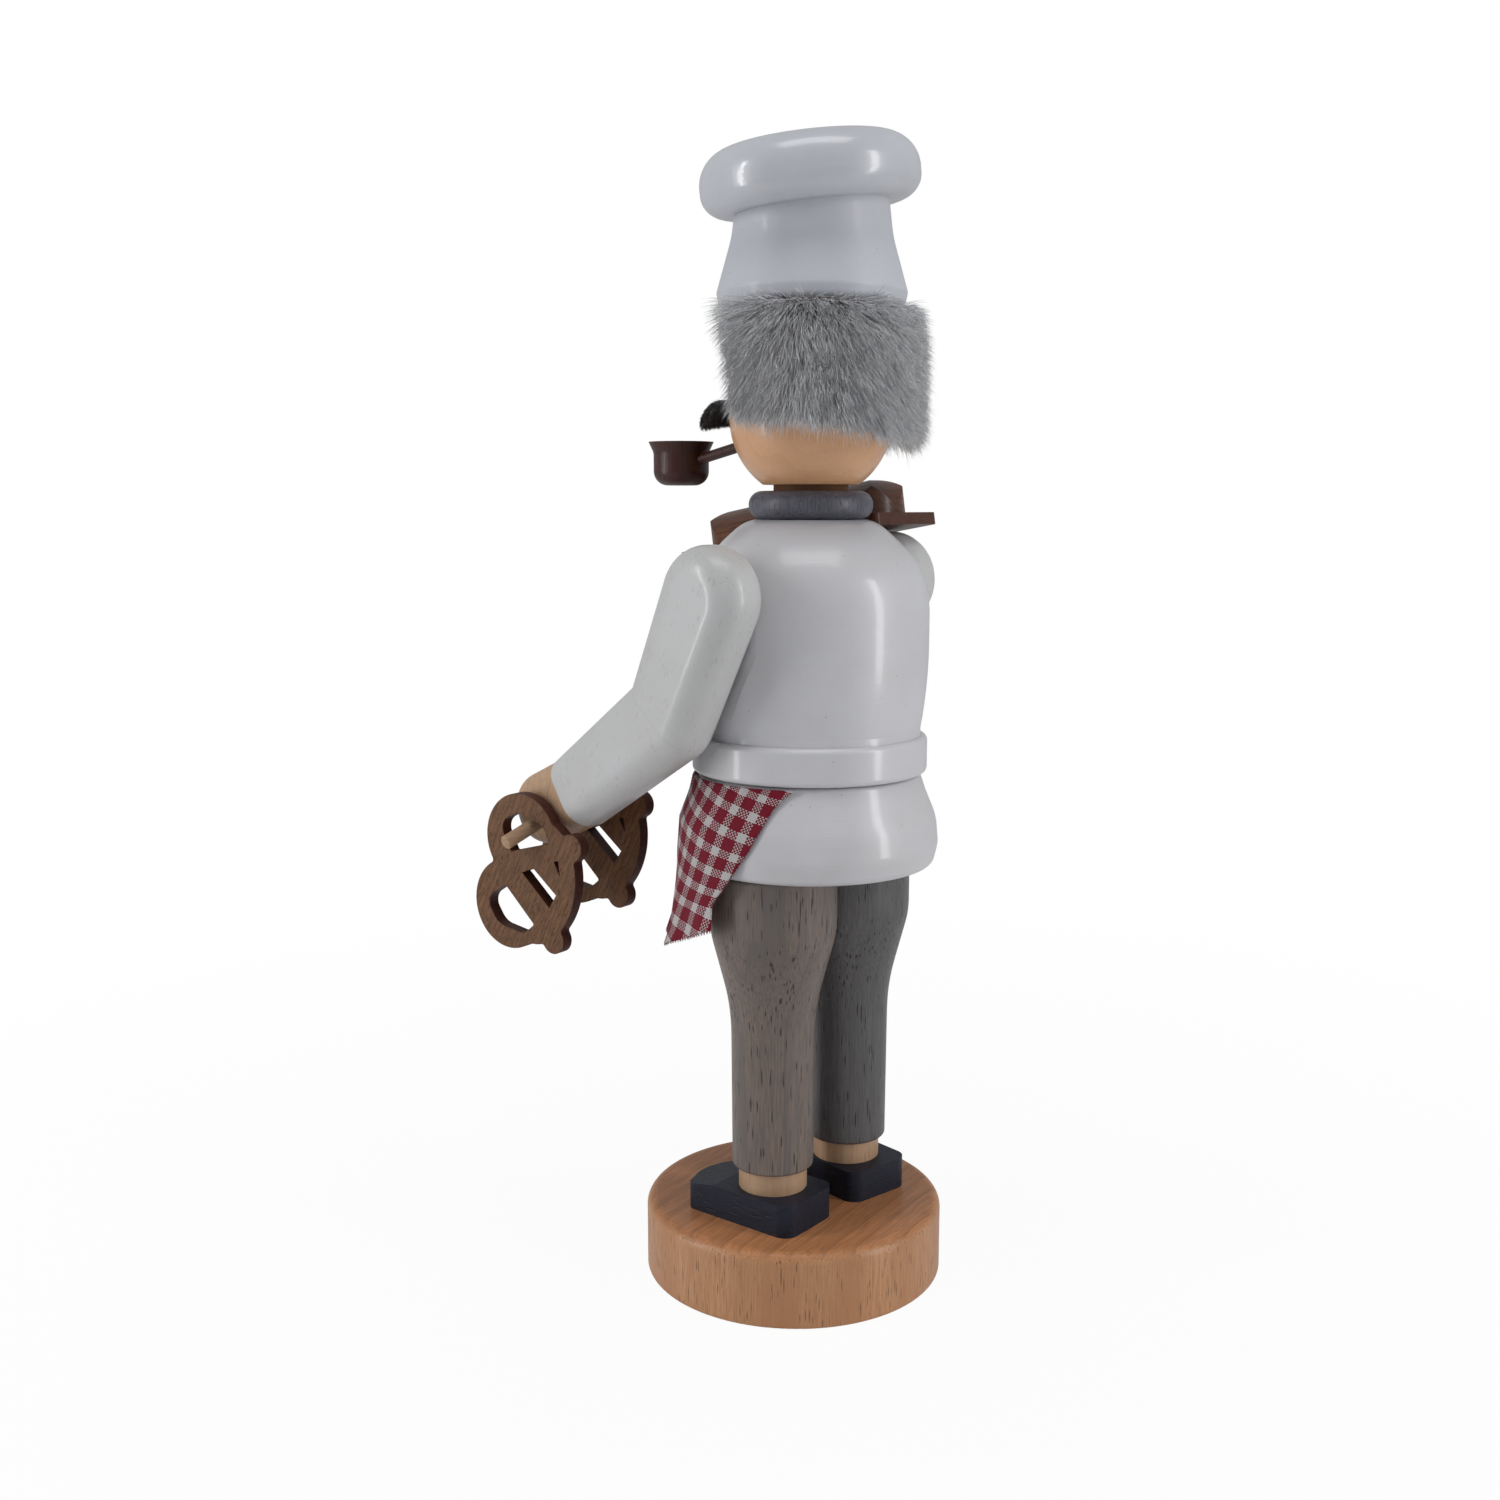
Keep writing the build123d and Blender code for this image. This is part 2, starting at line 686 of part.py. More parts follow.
def right_rise():
    """Slope of the right forearm at which the hand just reaches the board's underside."""
    up = heading(90 - BOARD_SLOPE)
    elbow = heading(RIGHT_LEAN - 90) * RIGHT_UPPER_ARM
    drop = SHOULDER_W / 2 - HAND_W / 2 - elbow.dot(up)
    palm = HAND_REACH - HAND_W / 2
    ahead = RIGHT_FOREARM + palm * cos(radians(HAND_BEND))
    lift = palm * sin(radians(HAND_BEND))
    reach = sqrt(ahead ** 2 + lift ** 2)
    return degrees(asin(drop / reach) - atan2(lift, ahead)) - BOARD_SLOPE


RIGHT_ARM = Arm(
    -1, RIGHT_SHOULDER_Y, RIGHT_SHOULDER_Z, RIGHT_LEAN, RIGHT_UPPER_ARM, RIGHT_FOREARM, right_rise()
)


def board_frame(along=0):
    """Frame on the board's underside: x across, y uphill to the back, z square to it."""
    slope = radians(BOARD_SLOPE)
    up = Vector(0, -sin(slope), cos(slope))
    back = Vector(0, cos(slope), sin(slope))
    touch = RIGHT_ARM.origin + up * (SHOULDER_W / 2 + CAP_BULGE + GLUE) + back * along
    return Plane(origin=(0, touch.Y, touch.Z), x_dir=(1, 0, 0), z_dir=up)


def board_pins(grow=0):
    """One pin over the shoulder and one over the hand, glued into the board."""
    up = board_frame().z_dir
    palm = RIGHT_ARM.place(RIGHT_ARM.palm)
    pins = []
    for centre, width in ((RIGHT_ARM.origin, SHOULDER_W), (palm, HAND_W)):
        touch = centre + up * (width / 2)
        pins.append(rod(touch - up * (PIN_DOWN + grow), touch + up * (PIN_UP + grow), PIN_R + grow))
    return pins


def bread_board():
    middle = -BOARD_INNER_X - BOARD_W / 2
    half = BOARD_W / 2
    outline = rounded([
        (middle - half, BOARD_BEHIND, BOARD_ROUND),
        (middle + half, BOARD_BEHIND, BOARD_ROUND),
        (middle + half, BOARD_BEHIND - BOARD_L, BOARD_ROUND),
        (middle - half, BOARD_BEHIND - BOARD_L, BOARD_ROUND),
    ])
    board = board_frame().location * extrude(outline, BOARD_T)
    for pin in board_pins(GLUE):
        board -= pin
    return board


def loaf():
    half = LOAF_W / 2
    arch = make_face([
        Line((-half, 0), (half, 0)),
        Line((half, 0), (half, LOAF_FOOT)),
        ThreePointArc((half, LOAF_FOOT), (0, LOAF_H), (-half, LOAF_FOOT)),
        Line((-half, LOAF_FOOT), (-half, 0)),
    ])
    length = LOAF_L / 2
    side = rounded([
        (-length, 0),
        (length, 0),
        (length, LOAF_H, LOAF_END),
        (-length, LOAF_H, LOAF_END),
    ])
    bread = extrude(Plane.XZ * arch, length, both=True)
    bread &= extrude(Plane.YZ * side, half, both=True)
    plan = rounded([
        (-half, -length, half - GLUE),
        (half, -length, half - GLUE),
        (half, length, half - GLUE),
        (-half, length, half - GLUE),
    ])
    bread &= extrude(plan, LOAF_H)
    groove = rod((0, -LOAF_SPLIT_L / 2, LOAF_H), (0, LOAF_SPLIT_L / 2, LOAF_H), LOAF_SPLIT)
    bread -= groove
    frame = board_frame(BOARD_BEHIND - LOAF_BACK - length)
    middle = Pos(-BOARD_INNER_X - BOARD_W / 2, 0, BOARD_T)
    return frame.location * middle * bread


def torso_radius(height):
    """Outer radius of the jacket below the chest: one long arc, upright at the chest."""
    rise = TORSO_CHEST_H - TORSO_WAIST_H
    inset = TORSO_CHEST_R - TORSO_WAIST_R
    bend = (rise ** 2 + inset ** 2) / (2 * inset)
    return TORSO_CHEST_R - bend + sqrt(bend ** 2 - (TORSO_CHEST_H - height) ** 2)


def torso():
    socket = SPIGOT_R + RUNNING
    centre = (TORSO_DOME_FLAT_R, TORSO_Z + TORSO_DOME_H)
    side_r = TORSO_CHEST_R
    wall = Polyline(
        (0, centre[1] + TORSO_DOME_RISE),
        (0, TORSO_Z + BAND_H),
        (TORSO_WAIST_R, TORSO_Z + BAND_H),
        (TORSO_WAIST_R, TORSO_Z + TORSO_WAIST_H),
    )
    swell_points = []
    for height in (TORSO_WAIST_H, (TORSO_WAIST_H + TORSO_CHEST_H) / 2, TORSO_CHEST_H):
        swell_points.append((torso_radius(height), TORSO_Z + height))
    swell = ThreePointArc(*swell_points)
    side = Line((side_r, TORSO_Z + TORSO_CHEST_H), (side_r, TORSO_Z + TORSO_DOME_H))
    across = side_r - TORSO_DOME_FLAT_R
    dome_points = []
    for i in range(DOME_STEPS + 1):
        angle = pi / 2 * i / DOME_STEPS
        level = centre[1] + TORSO_DOME_RISE * sin(angle)
        dome_points.append((centre[0] + across * cos(angle), level))
    quarter = Spline(dome_points, tangents=[(0, 1), (-1, 0)])
    dome_top = (TORSO_DOME_FLAT_R, centre[1] + TORSO_DOME_RISE)
    close = Line(dome_top, (0, centre[1] + TORSO_DOME_RISE))
    jacket = revolve(Plane.XZ * make_face([*wall.edges(), swell, side, quarter, close]), Axis.Z)
    jacket += turned([
        (0, TORSO_Z),
        (BAND_R, TORSO_Z, BAND_ROUND),
        (BAND_R, TORSO_Z + BAND_H, BAND_ROUND),
        (0, TORSO_Z + BAND_H),
    ])
    jacket -= Pos(0, 0, SEAT_Z) * extrude(Circle(COLLAR_R), TORSO_DOME_RISE)
    jacket -= turned([
        (0, TORSO_Z - OVER),
        (socket, TORSO_Z - OVER),
        (socket, TORSO_Z + SOCKET_H, SPIGOT_EDGE),
        (CHAMBER_R, TORSO_Z + SOCKET_H),
        (CHAMBER_R, TORSO_Z + CHAMBER_TOP, CHAMBER_ROUND),
        (0, TORSO_Z + CHAMBER_TOP),
    ])
    jacket -= extrude(Circle(NECK_BORE_R), SEAT_Z)
    jacket -= Pos(0, 0, SEAT_Z - NECK_DOWN - GLUE) * extrude(Circle(NECK_R + GLUE), SEAT_Z)
    jacket = on_body(jacket)
    for arm in (LEFT_ARM, RIGHT_ARM):
        jacket -= arm.stick(GLUE)
        jacket -= arm.shoulder_dowel(DOWEL_R + GLUE, GLUE)
    for centre in button_places():
        inner = centre + Vector(0, BUTTON_PEG, 0)
        jacket -= rod(inner, centre - Vector(0, OVER, 0), BUTTON_PEG_R + GLUE)
    return jacket


def button_places():
    """Where each button's underside touches the front of the jacket."""
    places = []
    for i in range(BUTTON_COUNT):
        height = BUTTON_FIRST_H + i * BUTTON_STEP
        level = torso_radius(min(height + BUTTON_R, TORSO_CHEST_H))
        places.append(Vector(0, BODY_Y - level - GLUE, TORSO_Z + height))
    return places


def jacket_buttons():
    button = turned([
        (0, -BUTTON_PEG),
        (BUTTON_PEG_R, -BUTTON_PEG),
        (BUTTON_PEG_R, 0),
        (BUTTON_R, 0),
        (BUTTON_R, BUTTON_T, BUTTON_T / 2),
        (0, BUTTON_T),
    ])
    return [Pos(*centre) * Rot(90, 0, 0) * button for centre in button_places()]


def collar():
    ring = turned([
        (NECK_R + GLUE, SEAT_Z),
        (COLLAR_R, SEAT_Z, COLLAR_ROUND),
        (COLLAR_R, COLLAR_TOP, COLLAR_ROUND),
        (NECK_R + GLUE, COLLAR_TOP),
    ])
    return on_body(ring)


def neck_sleeve():
    tube = turned([
        (NECK_BORE_R, SEAT_Z - NECK_DOWN),
        (NECK_R, SEAT_Z - NECK_DOWN),
        (NECK_R, HEAD_Z + NECK_UP),
        (NECK_BORE_R, HEAD_Z + NECK_UP),
    ])
    return on_body(tube)


def on_face(height, turn):
    """Frame on the head's skin, its z axis pointing straight out of the wood."""
    rise = height - HEAD_BALL_H
    side = radians(turn)
    level = head_radius(height)
    point = Vector(level * sin(side), BODY_Y - level * cos(side), HEAD_Z + height)
    tip = rise / HEAD_R if rise < 0 else 0
    flat = sqrt(1 - tip ** 2)
    out = Vector(flat * sin(side), -flat * cos(side), tip)
    return Plane(origin=point, z_dir=out)


def head():
    skull = turned([
        (0, HEAD_Z),
        (HEAD_R, HEAD_Z),
        (HEAD_R, HEAD_TOP, HEAD_R - HEAD_CROWN_R),
        (0, HEAD_TOP),
    ])
    chin = Pos(0, 0, HEAD_Z + HEAD_BALL_H) * Sphere(HEAD_R)
    upper = Pos(0, 0, HEAD_Z + HEAD_BALL_H) * extrude(Circle(HEAD_R), HEAD_H)
    skull = skull & (chin + upper)
    skull -= Pos(0, 0, HEAD_Z - OVER) * extrude(Circle(NECK_R + GLUE), NECK_UP + OVER + GLUE)
    skull -= turned([
        (0, HEAD_Z),
        (NECK_BORE_R, HEAD_Z),
        (HEAD_BORE_R, HEAD_Z + NECK_UP + HEAD_BORE_ROUND),
        (HEAD_BORE_R, HEAD_Z + HEAD_BORE_H, HEAD_BORE_ROUND),
        (0, HEAD_Z + HEAD_BORE_H),
    ])
    socket = extrude(Circle(HAT_DOWEL_R + GLUE), HEAD_H)
    skull -= Pos(0, 0, HEAD_TOP - HAT_DOWEL_DOWN - GLUE) * socket
    skull = on_body(skull)
    mouth = on_face(MOUTH_H, 0)
    level = HEAD_Z + MOUTH_H
    front = Vector(0, BODY_Y - HEAD_R - OVER, level)
    skull -= rod(Vector(0, BODY_Y, level), front, MOUTH_R)
    dish = mouth.offset(MOUTH_R * 2 - MOUTH_DISH)
    skull -= dish.location * Sphere(MOUTH_R * 2)
    nose = on_face(NOSE_H, 0)
    start = nose.origin - nose.z_dir * (NOSE_PEG + GLUE)
    skull -= rod(start, nose.origin + nose.z_dir * OVER, NOSE_PEG_R + GLUE)
    for turn in (EYE_TURN, -EYE_TURN):
        eye = on_face(EYE_H, turn)
        start = eye.origin - eye.z_dir * (EYE_PEG + GLUE)
        skull -= rod(start, eye.origin + eye.z_dir * OVER, EYE_R + GLUE)
    start, end = stem_line()
    skull -= rod(start, end, STEM_R + GLUE)
    return skull


def stem_line():
    """The pipe stem's two ends: inside the corner of the mouth, and inside the bowl."""
    level = MOUTH_H - MOUTH_R / 2
    radius = sqrt(head_radius(level) ** 2 - PIPE_X ** 2)
    mouth = Vector(PIPE_X, BODY_Y - radius, HEAD_Z + level)
    run = Vector(0, -cos(radians(PIPE_RISE)), -sin(radians(PIPE_RISE)))
    return mouth - run * STEM_IN_HEAD, mouth + run * (PIPE_REACH - BOWL_R + STEM_IN_BOWL)


def bowl_place():
    start, end = stem_line()
    run = (end - start).normalized()
    centre = end + run * (BOWL_R - STEM_IN_BOWL)
    return Vector(centre.X, centre.Y, centre.Z - (BOWL_H - STEM_DROP))


def pipe_bowl():
    foot = bowl_place()
    bowl = turned([
        (0, 0),
        (BOWL_R, 0, BOWL_FOOT_ROUND),
        (BOWL_R, BOWL_H - BOWL_LIP_H, BOWL_LIP_H),
        (BOWL_LIP_R, BOWL_H),
        (BOWL_CUP_R, BOWL_H),
        (BOWL_CUP_R, BOWL_H - BOWL_CUP_DEPTH, BOWL_CUP_ROUND),
        (0, BOWL_H - BOWL_CUP_DEPTH),
    ])
    start, end = stem_line()
    return Pos(*foot) * bowl - rod(start, end, STEM_R + GLUE)


def pipe_stem():
    start, end = stem_line()
    return rod(start, end, STEM_R)


def nose():
    place = on_face(NOSE_H, 0)
    knob = place.offset(NOSE_R * NOSE_OUT_SHARE).location * Sphere(NOSE_R)
    peg = rod(place.origin - place.z_dir * NOSE_PEG, place.origin + place.z_dir * NOSE_R / 2, NOSE_PEG_R)
    return knob - solid_head() + peg


def solid_head():
    """Outer form of the head without any hole, for what is glued on its skin."""
    ball = Pos(0, BODY_Y, HEAD_Z + HEAD_BALL_H) * Sphere(HEAD_R + GLUE)
    upright = extrude(Circle(HEAD_R + GLUE), HEAD_H - HEAD_BALL_H)
    tube = Pos(0, BODY_Y, HEAD_Z + HEAD_BALL_H) * upright
    return ball + tube


def eyes():
    pair = []
    for turn in (EYE_TURN, -EYE_TURN):
        place = on_face(EYE_H, turn)
        pin = turned([
            (0, -EYE_PEG),
            (EYE_R, -EYE_PEG),
            (EYE_R, EYE_R / 2, EYE_R / 2),
            (0, EYE_R / 2),
        ])
        pair.append(place.location * pin)
    return pair


def eyebrows():
    pair = []
    for turn in (BROW_TURN, -BROW_TURN):
        side = -1 if turn < 0 else 1
        place = on_face(BROW_H, turn)
        half = BROW_W / 2
        bar = rounded([
            (-half, 0, BROW_ROUND),
            (-half, BROW_T, BROW_ROUND),
            (0, BROW_T * BROW_ARCH_SHARE, BROW_W),
            (half, BROW_T, BROW_ROUND),
            (half, 0, BROW_ROUND),
            (0, BROW_T * (BROW_ARCH_SHARE - 1), BROW_W),
        ])
        flat = Plane(origin=place.origin, x_dir=Vector(0, 0, 1).cross(place.z_dir), z_dir=place.z_dir)
        brow = extrude(flat.offset(-BROW_STAND) * bar, 2 * BROW_STAND)
        pair.append(brow - solid_head())
    return pair


def moustache():
    pair = []
    level = HEAD_Z + TACHE_H
    skin = BODY_Y - head_radius(TACHE_H)
    for side in (1, -1):
        root = Vector(side * TACHE_ROOT_X, skin - TACHE_ROOT_R, level)
        middle = Vector(side * TACHE_MID_X, skin - TACHE_MID_STAND, level + TACHE_MID_RISE)
        tip = Vector(side * TACHE_TIP_X, skin - TACHE_MID_STAND, level - TACHE_TIP_DROP)
        first = (middle - root).normalized()
        last = (tip - middle).normalized()
        across = (first + last).normalized()
        horn = loft([
            Plane(origin=root, z_dir=first) * Circle(TACHE_ROOT_R),
            Plane(origin=middle, z_dir=across) * Circle(TACHE_MID_R),
            Plane(origin=tip, z_dir=last) * Circle(TACHE_TIP_R),
        ])
        pair.append(horn - solid_head())
    return pair


def hair_fur():
    inner = HEAD_R + GLUE
    ring = rounded([
        (inner, HAIR_TOP_Z),
        (inner, HAIR_Z + HAIR_T),
        (inner + HAIR_ROUND, HAIR_Z + HAIR_ROUND),
        (HAIR_LOW_R, HAIR_Z, HAIR_ROUND),
        (HAIR_MID_R, (HAIR_Z + HAIR_TOP_Z) / 2, HAIR_T),
        (HAIR_HIGH_R, HAIR_TOP_Z, HAIR_ROUND),
    ])
    strip = revolve(Plane.XZ * ring, Axis.Z, revolution_arc=HAIR_TURN)
    return on_body(Rot(0, 0, 90 - HAIR_TURN / 2) * strip)


def crown_plane():
    """Slanting joint between the band of the hat and its crown."""
    turn = radians(CROWN_TILT_TURN)
    tilt = radians(CROWN_TILT)
    lean = Vector(sin(tilt) * cos(turn), sin(tilt) * sin(turn), cos(tilt))
    return Plane(origin=(0, BODY_Y, HAT_Z + HAT_BAND_H), z_dir=lean)


def hat_band():
    socket = HEAD_R + GLUE
    band = turned([
        (0, HAT_Z),
        (HAT_LIP_R, HAT_Z, HAT_LIP_ROUND),
        (HAT_BELLY_R, HAT_Z + HAT_BELLY_H, HAT_LIP_ROUND),
        (HAT_WAIST_R, HAT_Z + HAT_WAIST_H, HAT_BEND),
        (HAT_TOP_R, HAT_Z + HAT_BAND_H),
        (HAT_TOP_R, HAT_Z + HAT_BAND_H + HAT_BELLY_H),
        (0, HAT_Z + HAT_BAND_H + HAT_BELLY_H),
    ])
    band -= Pos(0, 0, HAT_Z - OVER) * extrude(Circle(socket), HEAD_TOP - HAT_Z + OVER)
    band -= Pos(0, 0, HAT_Z - OVER) * extrude(Circle(HAT_DOWEL_R + GLUE), HAT_BAND_H * 2)
    return split(on_body(band), bisect_by=crown_plane(), keep=Keep.BOTTOM)


def hat_crown():
    crown = turned([
        (0, 0),
        (CROWN_R, 0, CROWN_LOW_ROUND),
        (CROWN_R, CROWN_H - CROWN_TOP_RISE, CROWN_SIDE_ROUND),
        (0, CROWN_H),
    ])
    crown = crown_plane().location * crown
    return crown - hat_dowel(GLUE)


def hat_dowel(grow=0):
    foot = HEAD_TOP - HAT_DOWEL_DOWN - grow
    length = HAT_DOWEL_DOWN + HAT_BAND_H + HAT_DOWEL_UP / 2 + 2 * grow
    return Pos(0, BODY_Y, foot) * extrude(Circle(HAT_DOWEL_R + grow), length)


def rod_frame():
    """The pretzel rod's middle inside the left hand, and its direction outwards."""
    middle = LEFT_ARM.place(LEFT_ARM.cuff) + LEFT_ARM.forward * ROD_AHEAD
    slope = radians(ROD_SLOPE)
    return middle, Vector(cos(slope), 0, -sin(slope))


def pretzel_rod():
    middle, out = rod_frame()
    dowel = rod(middle - out * ROD_IN, middle + out * ROD_OUT, ROD_R)
    return chamfer(dowel.edges().filter_by(GeomType.CIRCLE), ROD_EDGE)


def pretzel_blank():
    """Flat pretzel: x runs from the notch to the belly, y across the two lobes."""
    deep = PRETZEL_BELLY_DEEP / 2
    body = Pos(PRETZEL_BELLY - deep, 0) * Ellipse(deep, PRETZEL_BELLY_WIDE / 2)
    for s in (1, -1):
        body += Pos(PRETZEL_LOBE_X, s * PRETZEL_LOBE_Y) * Circle(PRETZEL_LOBE_R)
        body += Pos(PRETZEL_KNOB_X, s * PRETZEL_KNOB_Y) * Circle(PRETZEL_KNOB_R)
    body = fillet(body.vertices(), PRETZEL_NOTCH_ROUND)
    eye = rounded([tuple(share * PRETZEL_BELLY for share in corner) for corner in PRETZEL_EYE_SHARES])
    body -= [eye, mirror(eye, Plane.XZ)]
    for shares in (PRETZEL_GAP_SHARES, PRETZEL_SLIT_SHARES):
        body -= rounded([(x * PRETZEL_BELLY, y * PRETZEL_BELLY) for x, y in shares])
    return extrude(body, PRETZEL_T / 2, both=True)


def pretzel_axis(x):
    """Point of the rod's centre line in the flat plane of a pretzel at x."""
    middle, out = rod_frame()
    return middle + out * ((x - middle.X) / out.X)


def pretzel(x):
    """Pretzel hanging upright at x, its weight straight below the rod in its upper eye."""
    slope = radians(ROD_SLOPE)
    slack = AIR + PRETZEL_T / 2 * tan(slope) + ROD_R / cos(slope)
    hang = Vector(PRETZEL_HANG_X, PRETZEL_EYE_TOP - slack)
    blank = pretzel_blank()
    weight = blank.center(CenterOf.MASS)
    turn = atan2(weight.X - hang.X, hang.Y - weight.Y)
    axis = pretzel_axis(x)
    upright = Plane(origin=axis, x_dir=(0, cos(turn), -sin(turn)), z_dir=(1, 0, 0))
    hung = upright.location * Pos(-hang.X, -hang.Y, 0) * blank
    return hung.rotate(Axis(origin=axis, direction=(0, 0, 1)), PRETZEL_YAW)


def main():
    parts = {}
    legs_and_feet(parts)
    parts["base_disc"] = base_disc()
    parts["jacket_skirt"] = jacket_skirt()
    parts["incense_plate"] = incense_plate()
    parts["plate_tack"] = plate_tack()
    parts["apron"] = apron()
    for arm, name in ((LEFT_ARM, "left"), (RIGHT_ARM, "right")):
        upper, fore = arm.halves()
        parts["upper_arm_" + name] = upper
        parts["forearm_" + name] = fore
        parts["hand_" + name] = arm.hand()
    for pin in board_pins(GLUE):
        parts["upper_arm_right"] -= pin
        parts["hand_right"] -= pin
    middle, out = rod_frame()
    parts["hand_left"] -= rod(middle - out * ROD_IN, middle + out * ROD_OUT, ROD_R + GLUE)
    parts["torso"] = torso()
    parts["jacket_buttons"] = jacket_buttons()
    parts["collar"] = collar()
    parts["neck_sleeve"] = neck_sleeve()
    parts["head"] = head()
    parts["nose"] = nose()
    parts["eyes"] = eyes()
    parts["eyebrows"] = eyebrows()
    parts["moustache"] = moustache()
    parts["hair_fur"] = hair_fur()
    parts["hat_band"] = hat_band()
    parts["hat_crown"] = hat_crown()
    parts["hat_dowel"] = hat_dowel()
    parts["pipe_stem"] = pipe_stem()
    parts["pipe_bowl"] = pipe_bowl()
    parts["pretzel_rod"] = pretzel_rod()
    outside = ARM_SEAT_X + ARM_T + PRETZEL_OUTER_GAP + PRETZEL_T / 2
    inside = ARM_SEAT_X - PRETZEL_INNER_GAP - PRETZEL_T / 2
    parts["pretzel_outer"] = pretzel(outside)
    parts["pretzel_inner"] = pretzel(inside)
    parts["bread_board"] = bread_board()
    parts["loaf"] = loaf()
    parts["board_pins"] = board_pins()
    arms = (LEFT_ARM, RIGHT_ARM)
    parts["shoulder_dowels"] = [a.shoulder_dowel(DOWEL_R) for a in arms]
    parts["elbow_dowels"] = [a.elbow_dowel(DOWEL_R) for a in arms]
    parts["wrist_dowels"] = [a.wrist_dowel(DOWEL_R) for a in arms]
    os.makedirs("parts", exist_ok=True)
    for name, shape in parts.items():
        solids = shape if isinstance(shape, list) else [shape]
        export_step(Compound(children=solids), os.path.join("parts", name + ".step"))


main()
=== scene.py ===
"""Looks of the smoking baker: paint, stain, fur, apron and the studio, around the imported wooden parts."""

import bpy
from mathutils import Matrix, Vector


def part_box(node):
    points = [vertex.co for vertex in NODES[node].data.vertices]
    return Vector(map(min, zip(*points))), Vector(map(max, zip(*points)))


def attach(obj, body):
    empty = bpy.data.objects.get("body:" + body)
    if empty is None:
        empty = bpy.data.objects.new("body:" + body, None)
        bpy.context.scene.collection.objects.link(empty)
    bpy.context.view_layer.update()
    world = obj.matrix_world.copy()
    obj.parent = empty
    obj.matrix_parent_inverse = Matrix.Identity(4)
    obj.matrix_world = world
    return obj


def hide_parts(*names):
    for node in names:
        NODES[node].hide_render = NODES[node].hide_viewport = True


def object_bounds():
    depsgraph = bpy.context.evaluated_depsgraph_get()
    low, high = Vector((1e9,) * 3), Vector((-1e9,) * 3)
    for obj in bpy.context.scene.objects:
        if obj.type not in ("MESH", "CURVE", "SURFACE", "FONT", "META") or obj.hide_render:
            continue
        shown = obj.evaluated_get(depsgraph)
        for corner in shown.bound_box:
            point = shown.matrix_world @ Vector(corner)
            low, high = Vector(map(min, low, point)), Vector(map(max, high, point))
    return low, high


bl_info = {
    "name": "Smoking Baker",
    "version": (1, 0, 0),
    "blender": (4, 5, 0),
    "location": "3D View > Sidebar > Baker",
    "description": "Dresses the turned wooden baker with paint, stain, fur and a checked apron",
    "category": "Object",
}

from math import cos, pi, radians, sin

import bmesh
import bpy
from bpy.props import FloatProperty, FloatVectorProperty, IntProperty, PointerProperty
from mathutils import Vector

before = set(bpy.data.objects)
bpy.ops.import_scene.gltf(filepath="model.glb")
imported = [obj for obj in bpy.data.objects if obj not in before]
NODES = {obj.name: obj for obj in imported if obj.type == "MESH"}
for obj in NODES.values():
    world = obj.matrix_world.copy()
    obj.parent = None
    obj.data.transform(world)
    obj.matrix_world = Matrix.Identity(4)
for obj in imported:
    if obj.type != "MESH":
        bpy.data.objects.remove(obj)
CAD_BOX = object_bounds()
MM = 0.001

# Places and sizes that the frame gives
HEAD_LOW, HEAD_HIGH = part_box("head")
HAIR_LOW, HAIR_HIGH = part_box("hair_fur")
SKIRT_LOW, SKIRT_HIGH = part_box("jacket_skirt")
BODY_Y = (SKIRT_LOW.y + SKIRT_HIGH.y) / 2
HEAD_R = (HEAD_HIGH.x - HEAD_LOW.x) / 2
WAIST_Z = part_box("torso")[0].z


def colour_property(name, description, default):
    return FloatVectorProperty(
        name=name, description=description, default=default, subtype="COLOR", min=0, max=1, size=3
    )


def length_property(name, description, millimetres):
    return FloatProperty(
        name=name, description=description, default=millimetres * MM, unit="LENGTH", min=0, precision=5
    )


def strength_property(name, description, default):
    return FloatProperty(name=name, description=description, default=default, min=0)


class BakerWood(bpy.types.PropertyGroup):
    beech: colour_property("Beech", "Lacquered beech of the base", (0.60, 0.325, 0.172))
    head: colour_property("Head", "Lacquered wood of the head", (0.70, 0.385, 0.205))
    pale: colour_property("Pale wood", "Hands, ankles, rod and hidden dowels", (0.50, 0.315, 0.19))
    trousers: colour_property("Trousers", "Warm grey stain of the left leg", (0.165, 0.140, 0.128))
    trousers_right: colour_property("Right trouser", "Cooler grey of the right leg", (0.105, 0.100, 0.103))
    shoes: colour_property("Shoes", "Blue black stain", (0.0095, 0.0135, 0.026))
    collar: colour_property("Neckerchief", "Blue grey stain of the collar ring", (0.105, 0.105, 0.130))
    pretzel: colour_property("Pretzel", "Broad faces of the pretzels", (0.165, 0.078, 0.036))
    pipe: colour_property("Pipe", "Dark brown stain", (0.042, 0.010, 0.005))
    board: colour_property("Bread board", "Brown stain", (0.070, 0.021, 0.010))
    loaf: colour_property("Loaf", "Crust brown stain", (0.060, 0.019, 0.009))
    ring_width: length_property("Ring width", "Spacing of the growth rings", 4.0)
    pore_length: length_property("Pore length", "Length of the cells that hold one dark dash each", 9.0)


class BakerPaint(bpy.types.PropertyGroup):
    jacket: colour_property("Jacket", "White gloss paint", (0.64, 0.635, 0.665))
    sleeve: colour_property("Sleeve", "Thin white paint on the arms", (0.585, 0.585, 0.585))
    hat: colour_property("Hat", "Cooler white paint of the hat", (0.575, 0.59, 0.64))
    black: colour_property("Black", "Paint of the buttons and the eyes", (0.012, 0.011, 0.012))
    groove: length_property("Turning groove", "Spacing of the marks of the turning tool", 0.55)


